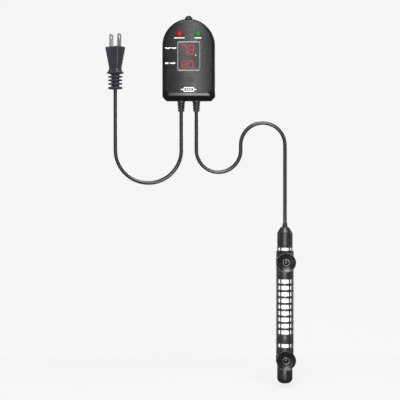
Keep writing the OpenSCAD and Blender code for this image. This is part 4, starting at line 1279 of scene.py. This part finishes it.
def finish_cad_nodes():
    """Gives every CAD node that stays its own finish and softens its edges."""
    for name, material in HIDDEN.items():
        obj = frame["nodes"][name]
        obj.data.materials.clear()
        obj.data.materials.append(material)
        if name == "quartz_tube":
            continue
        bevel = obj.modifiers.new("soft_edges", "BEVEL")
        bevel.width = 0.12 * MM
        bevel.segments = 2
        bevel.limit_method = "ANGLE"
        bevel.angle_limit = math.radians(50)


# ------------------------------------------------------------------ stage

PALE = 0.93                                     # brightness of the surroundings that the camera sees


def stage_sheet():
    """Pale floor that curves up behind the object. It can be seen through from behind."""
    floor_z = cad_low.z - 0.004
    back_y, bend, width = 0.9, 0.7, 5.0
    profile = [(-4.0, floor_z), (-1.0, floor_z), (back_y - bend, floor_z)]
    profile += [(back_y - bend + p.x, floor_z + bend + p.y) for p in arc((0, 0), bend, -90, 0, 24)]
    profile.append((back_y, floor_z + 4.0))
    bm = bmesh.new()
    loft(bm, [[Vector((x, y, z)) for y, z in profile] for x in (width, -width)], caps=False, closed=False)
    mesh = bpy.data.meshes.new("studio_sheet")
    bm.to_mesh(mesh)
    bm.free()
    mesh.shade_smooth()
    sheet = bpy.data.objects.new("studio_sheet", mesh)
    scene.collection.objects.link(sheet)
    finish = Finish("studio_paper")
    away = finish.node("ShaderNodeVectorMath", Vector=finish.mm)
    away.operation = "LENGTH"
    far = finish.spread(away.outputs["Value"], 0, 1, 1000, 3600)
    finish.set(Base_Color=finish.mix(far, (0.1, 0.1, 0.1), (0, 0, 0)), Roughness=0.9, Specular_IOR_Level=0,
               Emission_Color=(1, 1, 1), Emission_Strength=finish.spread(far, 0.82, PALE, 0, 1))
    behind = finish.node("ShaderNodeNewGeometry").outputs["Backfacing"]
    clear_side = finish.node("ShaderNodeBsdfTransparent")
    blend = finish.node("ShaderNodeMixShader", Fac=behind)
    finish.tree.links.new(finish.shader.outputs[0], blend.inputs[1])
    finish.tree.links.new(clear_side.outputs[0], blend.inputs[2])
    output = finish.tree.nodes["Material Output"]
    finish.tree.links.new(blend.outputs[0], output.inputs["Surface"])
    mesh.materials.append(finish.material)
    sheet.visible_glossy = False
    return sheet


def off_the_sheet(sheet):
    """Light-linking group that keeps a lamp's light off the sheet, so that no pool shows on it."""
    group = bpy.data.collections.new("off_the_sheet")
    group.objects.link(sheet)
    group.collection_objects[0].light_linking.link_state = "EXCLUDE"
    return group


def softbox(name, place, target, width, height, power, receivers=None):
    light = bpy.data.lights.new(name, "AREA")
    light.shape = "RECTANGLE"
    light.size = width
    light.size_y = height
    light.energy = power
    lamp = bpy.data.objects.new(name, light)
    scene.collection.objects.link(lamp)
    lamp.location = place
    lamp.rotation_mode = "QUATERNION"
    lamp.rotation_quaternion = (Vector(place) - Vector(target)).to_track_quat("Z", "Y")
    lamp.visible_camera = False
    lamp.light_linking.receiver_collection = receivers


def studio(centre, sheet):
    """Soft light from the front, both sides and above, and a world that is dark except to the camera."""
    group = off_the_sheet(sheet)
    softbox("front_softbox", centre + Vector((0.045, -1.5, 0.29)), centre, 0.17, 0.7, 3.2, group)
    softbox("key_softbox", centre + Vector((0.1, -1.0, 1.5)), centre, 1.2, 0.8, 40)
    softbox("low_softbox", centre + Vector((0.05, -0.65, -0.16)), centre + Vector((0, 0, 0.12)), 0.3, 0.14, 2.6,
            group)
    softbox("left_softbox", centre + Vector((-1.5, 0.45, 0.4)), centre, 0.5, 1.2, 3.5, group)
    softbox("right_softbox", centre + Vector((1.5, 0.45, 0.4)), centre, 0.5, 1.2, 3.5, group)
    softbox("back_softbox", centre + Vector((0.5, 1.6, 0.7)), centre, 1.0, 1.2, 26, group)
    world = bpy.data.worlds.new("studio_world")
    scene.world = world
    world.use_nodes = True
    nodes, links = world.node_tree.nodes, world.node_tree.links
    seen = nodes["Background"]
    seen.inputs["Color"].default_value = (PALE, PALE, PALE, 1)
    lit = nodes.new("ShaderNodeBackground")
    lit.inputs["Color"].default_value = (0.05, 0.05, 0.055, 1)
    choose = nodes.new("ShaderNodeMixShader")
    path = nodes.new("ShaderNodeLightPath")
    links.new(path.outputs["Is Camera Ray"], choose.inputs["Fac"])
    links.new(lit.outputs[0], choose.inputs[1])
    links.new(seen.outputs[0], choose.inputs[2])
    links.new(choose.outputs[0], nodes["World Output"].inputs["Surface"])


def camera(centre, tall):
    """Long lens almost level with the object, as in the reference view."""
    data = bpy.data.cameras.new("camera")
    data.lens = 100
    data.sensor_width = 36
    eye = bpy.data.objects.new("camera", data)
    scene.collection.objects.link(eye)
    elevation = math.radians(0.5)
    back = Vector((0, -math.cos(elevation), math.sin(elevation)))
    fill = 0.92                                 # share of the frame that the object's height takes
    distance = tall / fill / (data.sensor_width / data.lens)
    eye.location = centre + back * distance
    eye.rotation_mode = "QUATERNION"
    eye.rotation_quaternion = back.to_track_quat("Z", "Y")
    scene.camera = eye
    scene.view_settings.view_transform = "Standard"


# ------------------------------------------------------------------ build

front_shell()
back_shell()
case_screws()
display_bezel()
display_window()
display_digits()
lamp_lens("heating_lamp", -LAMP_X, RED_LENS, "heating_lens")
lamp_lens("power_lamp", LAMP_X, GREEN_LENS, "power_lens")
set_button()
printed_marks()
case_boot("power_boot", POWER_PIVOT.x, "power_cord_boot")
case_boot("heater_boot_at_case", LEAD_PIVOT.x, "heater_cord_boot")
cords()
plug_body()
plug_blades()
heater_boot()
top_cap()
bottom_cap()
guard()
clip("upper_clip_ring", UPPER_CUP_Z, "upper_clip", "upper_cup_clip")
clip("lower_clip_ring", LOWER_CUP_Z, "lower_clip", "lower_cup_clip")
cup("upper_cup", UPPER_CUP_Z, "upper_clip", "upper_suction_cup")
cup("lower_cup", LOWER_CUP_Z, "lower_clip", "lower_suction_cup")
finish_cad_nodes()

low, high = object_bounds()
centre = (low + high) / 2
studio(centre, stage_sheet())
camera(centre, high.z - low.z)
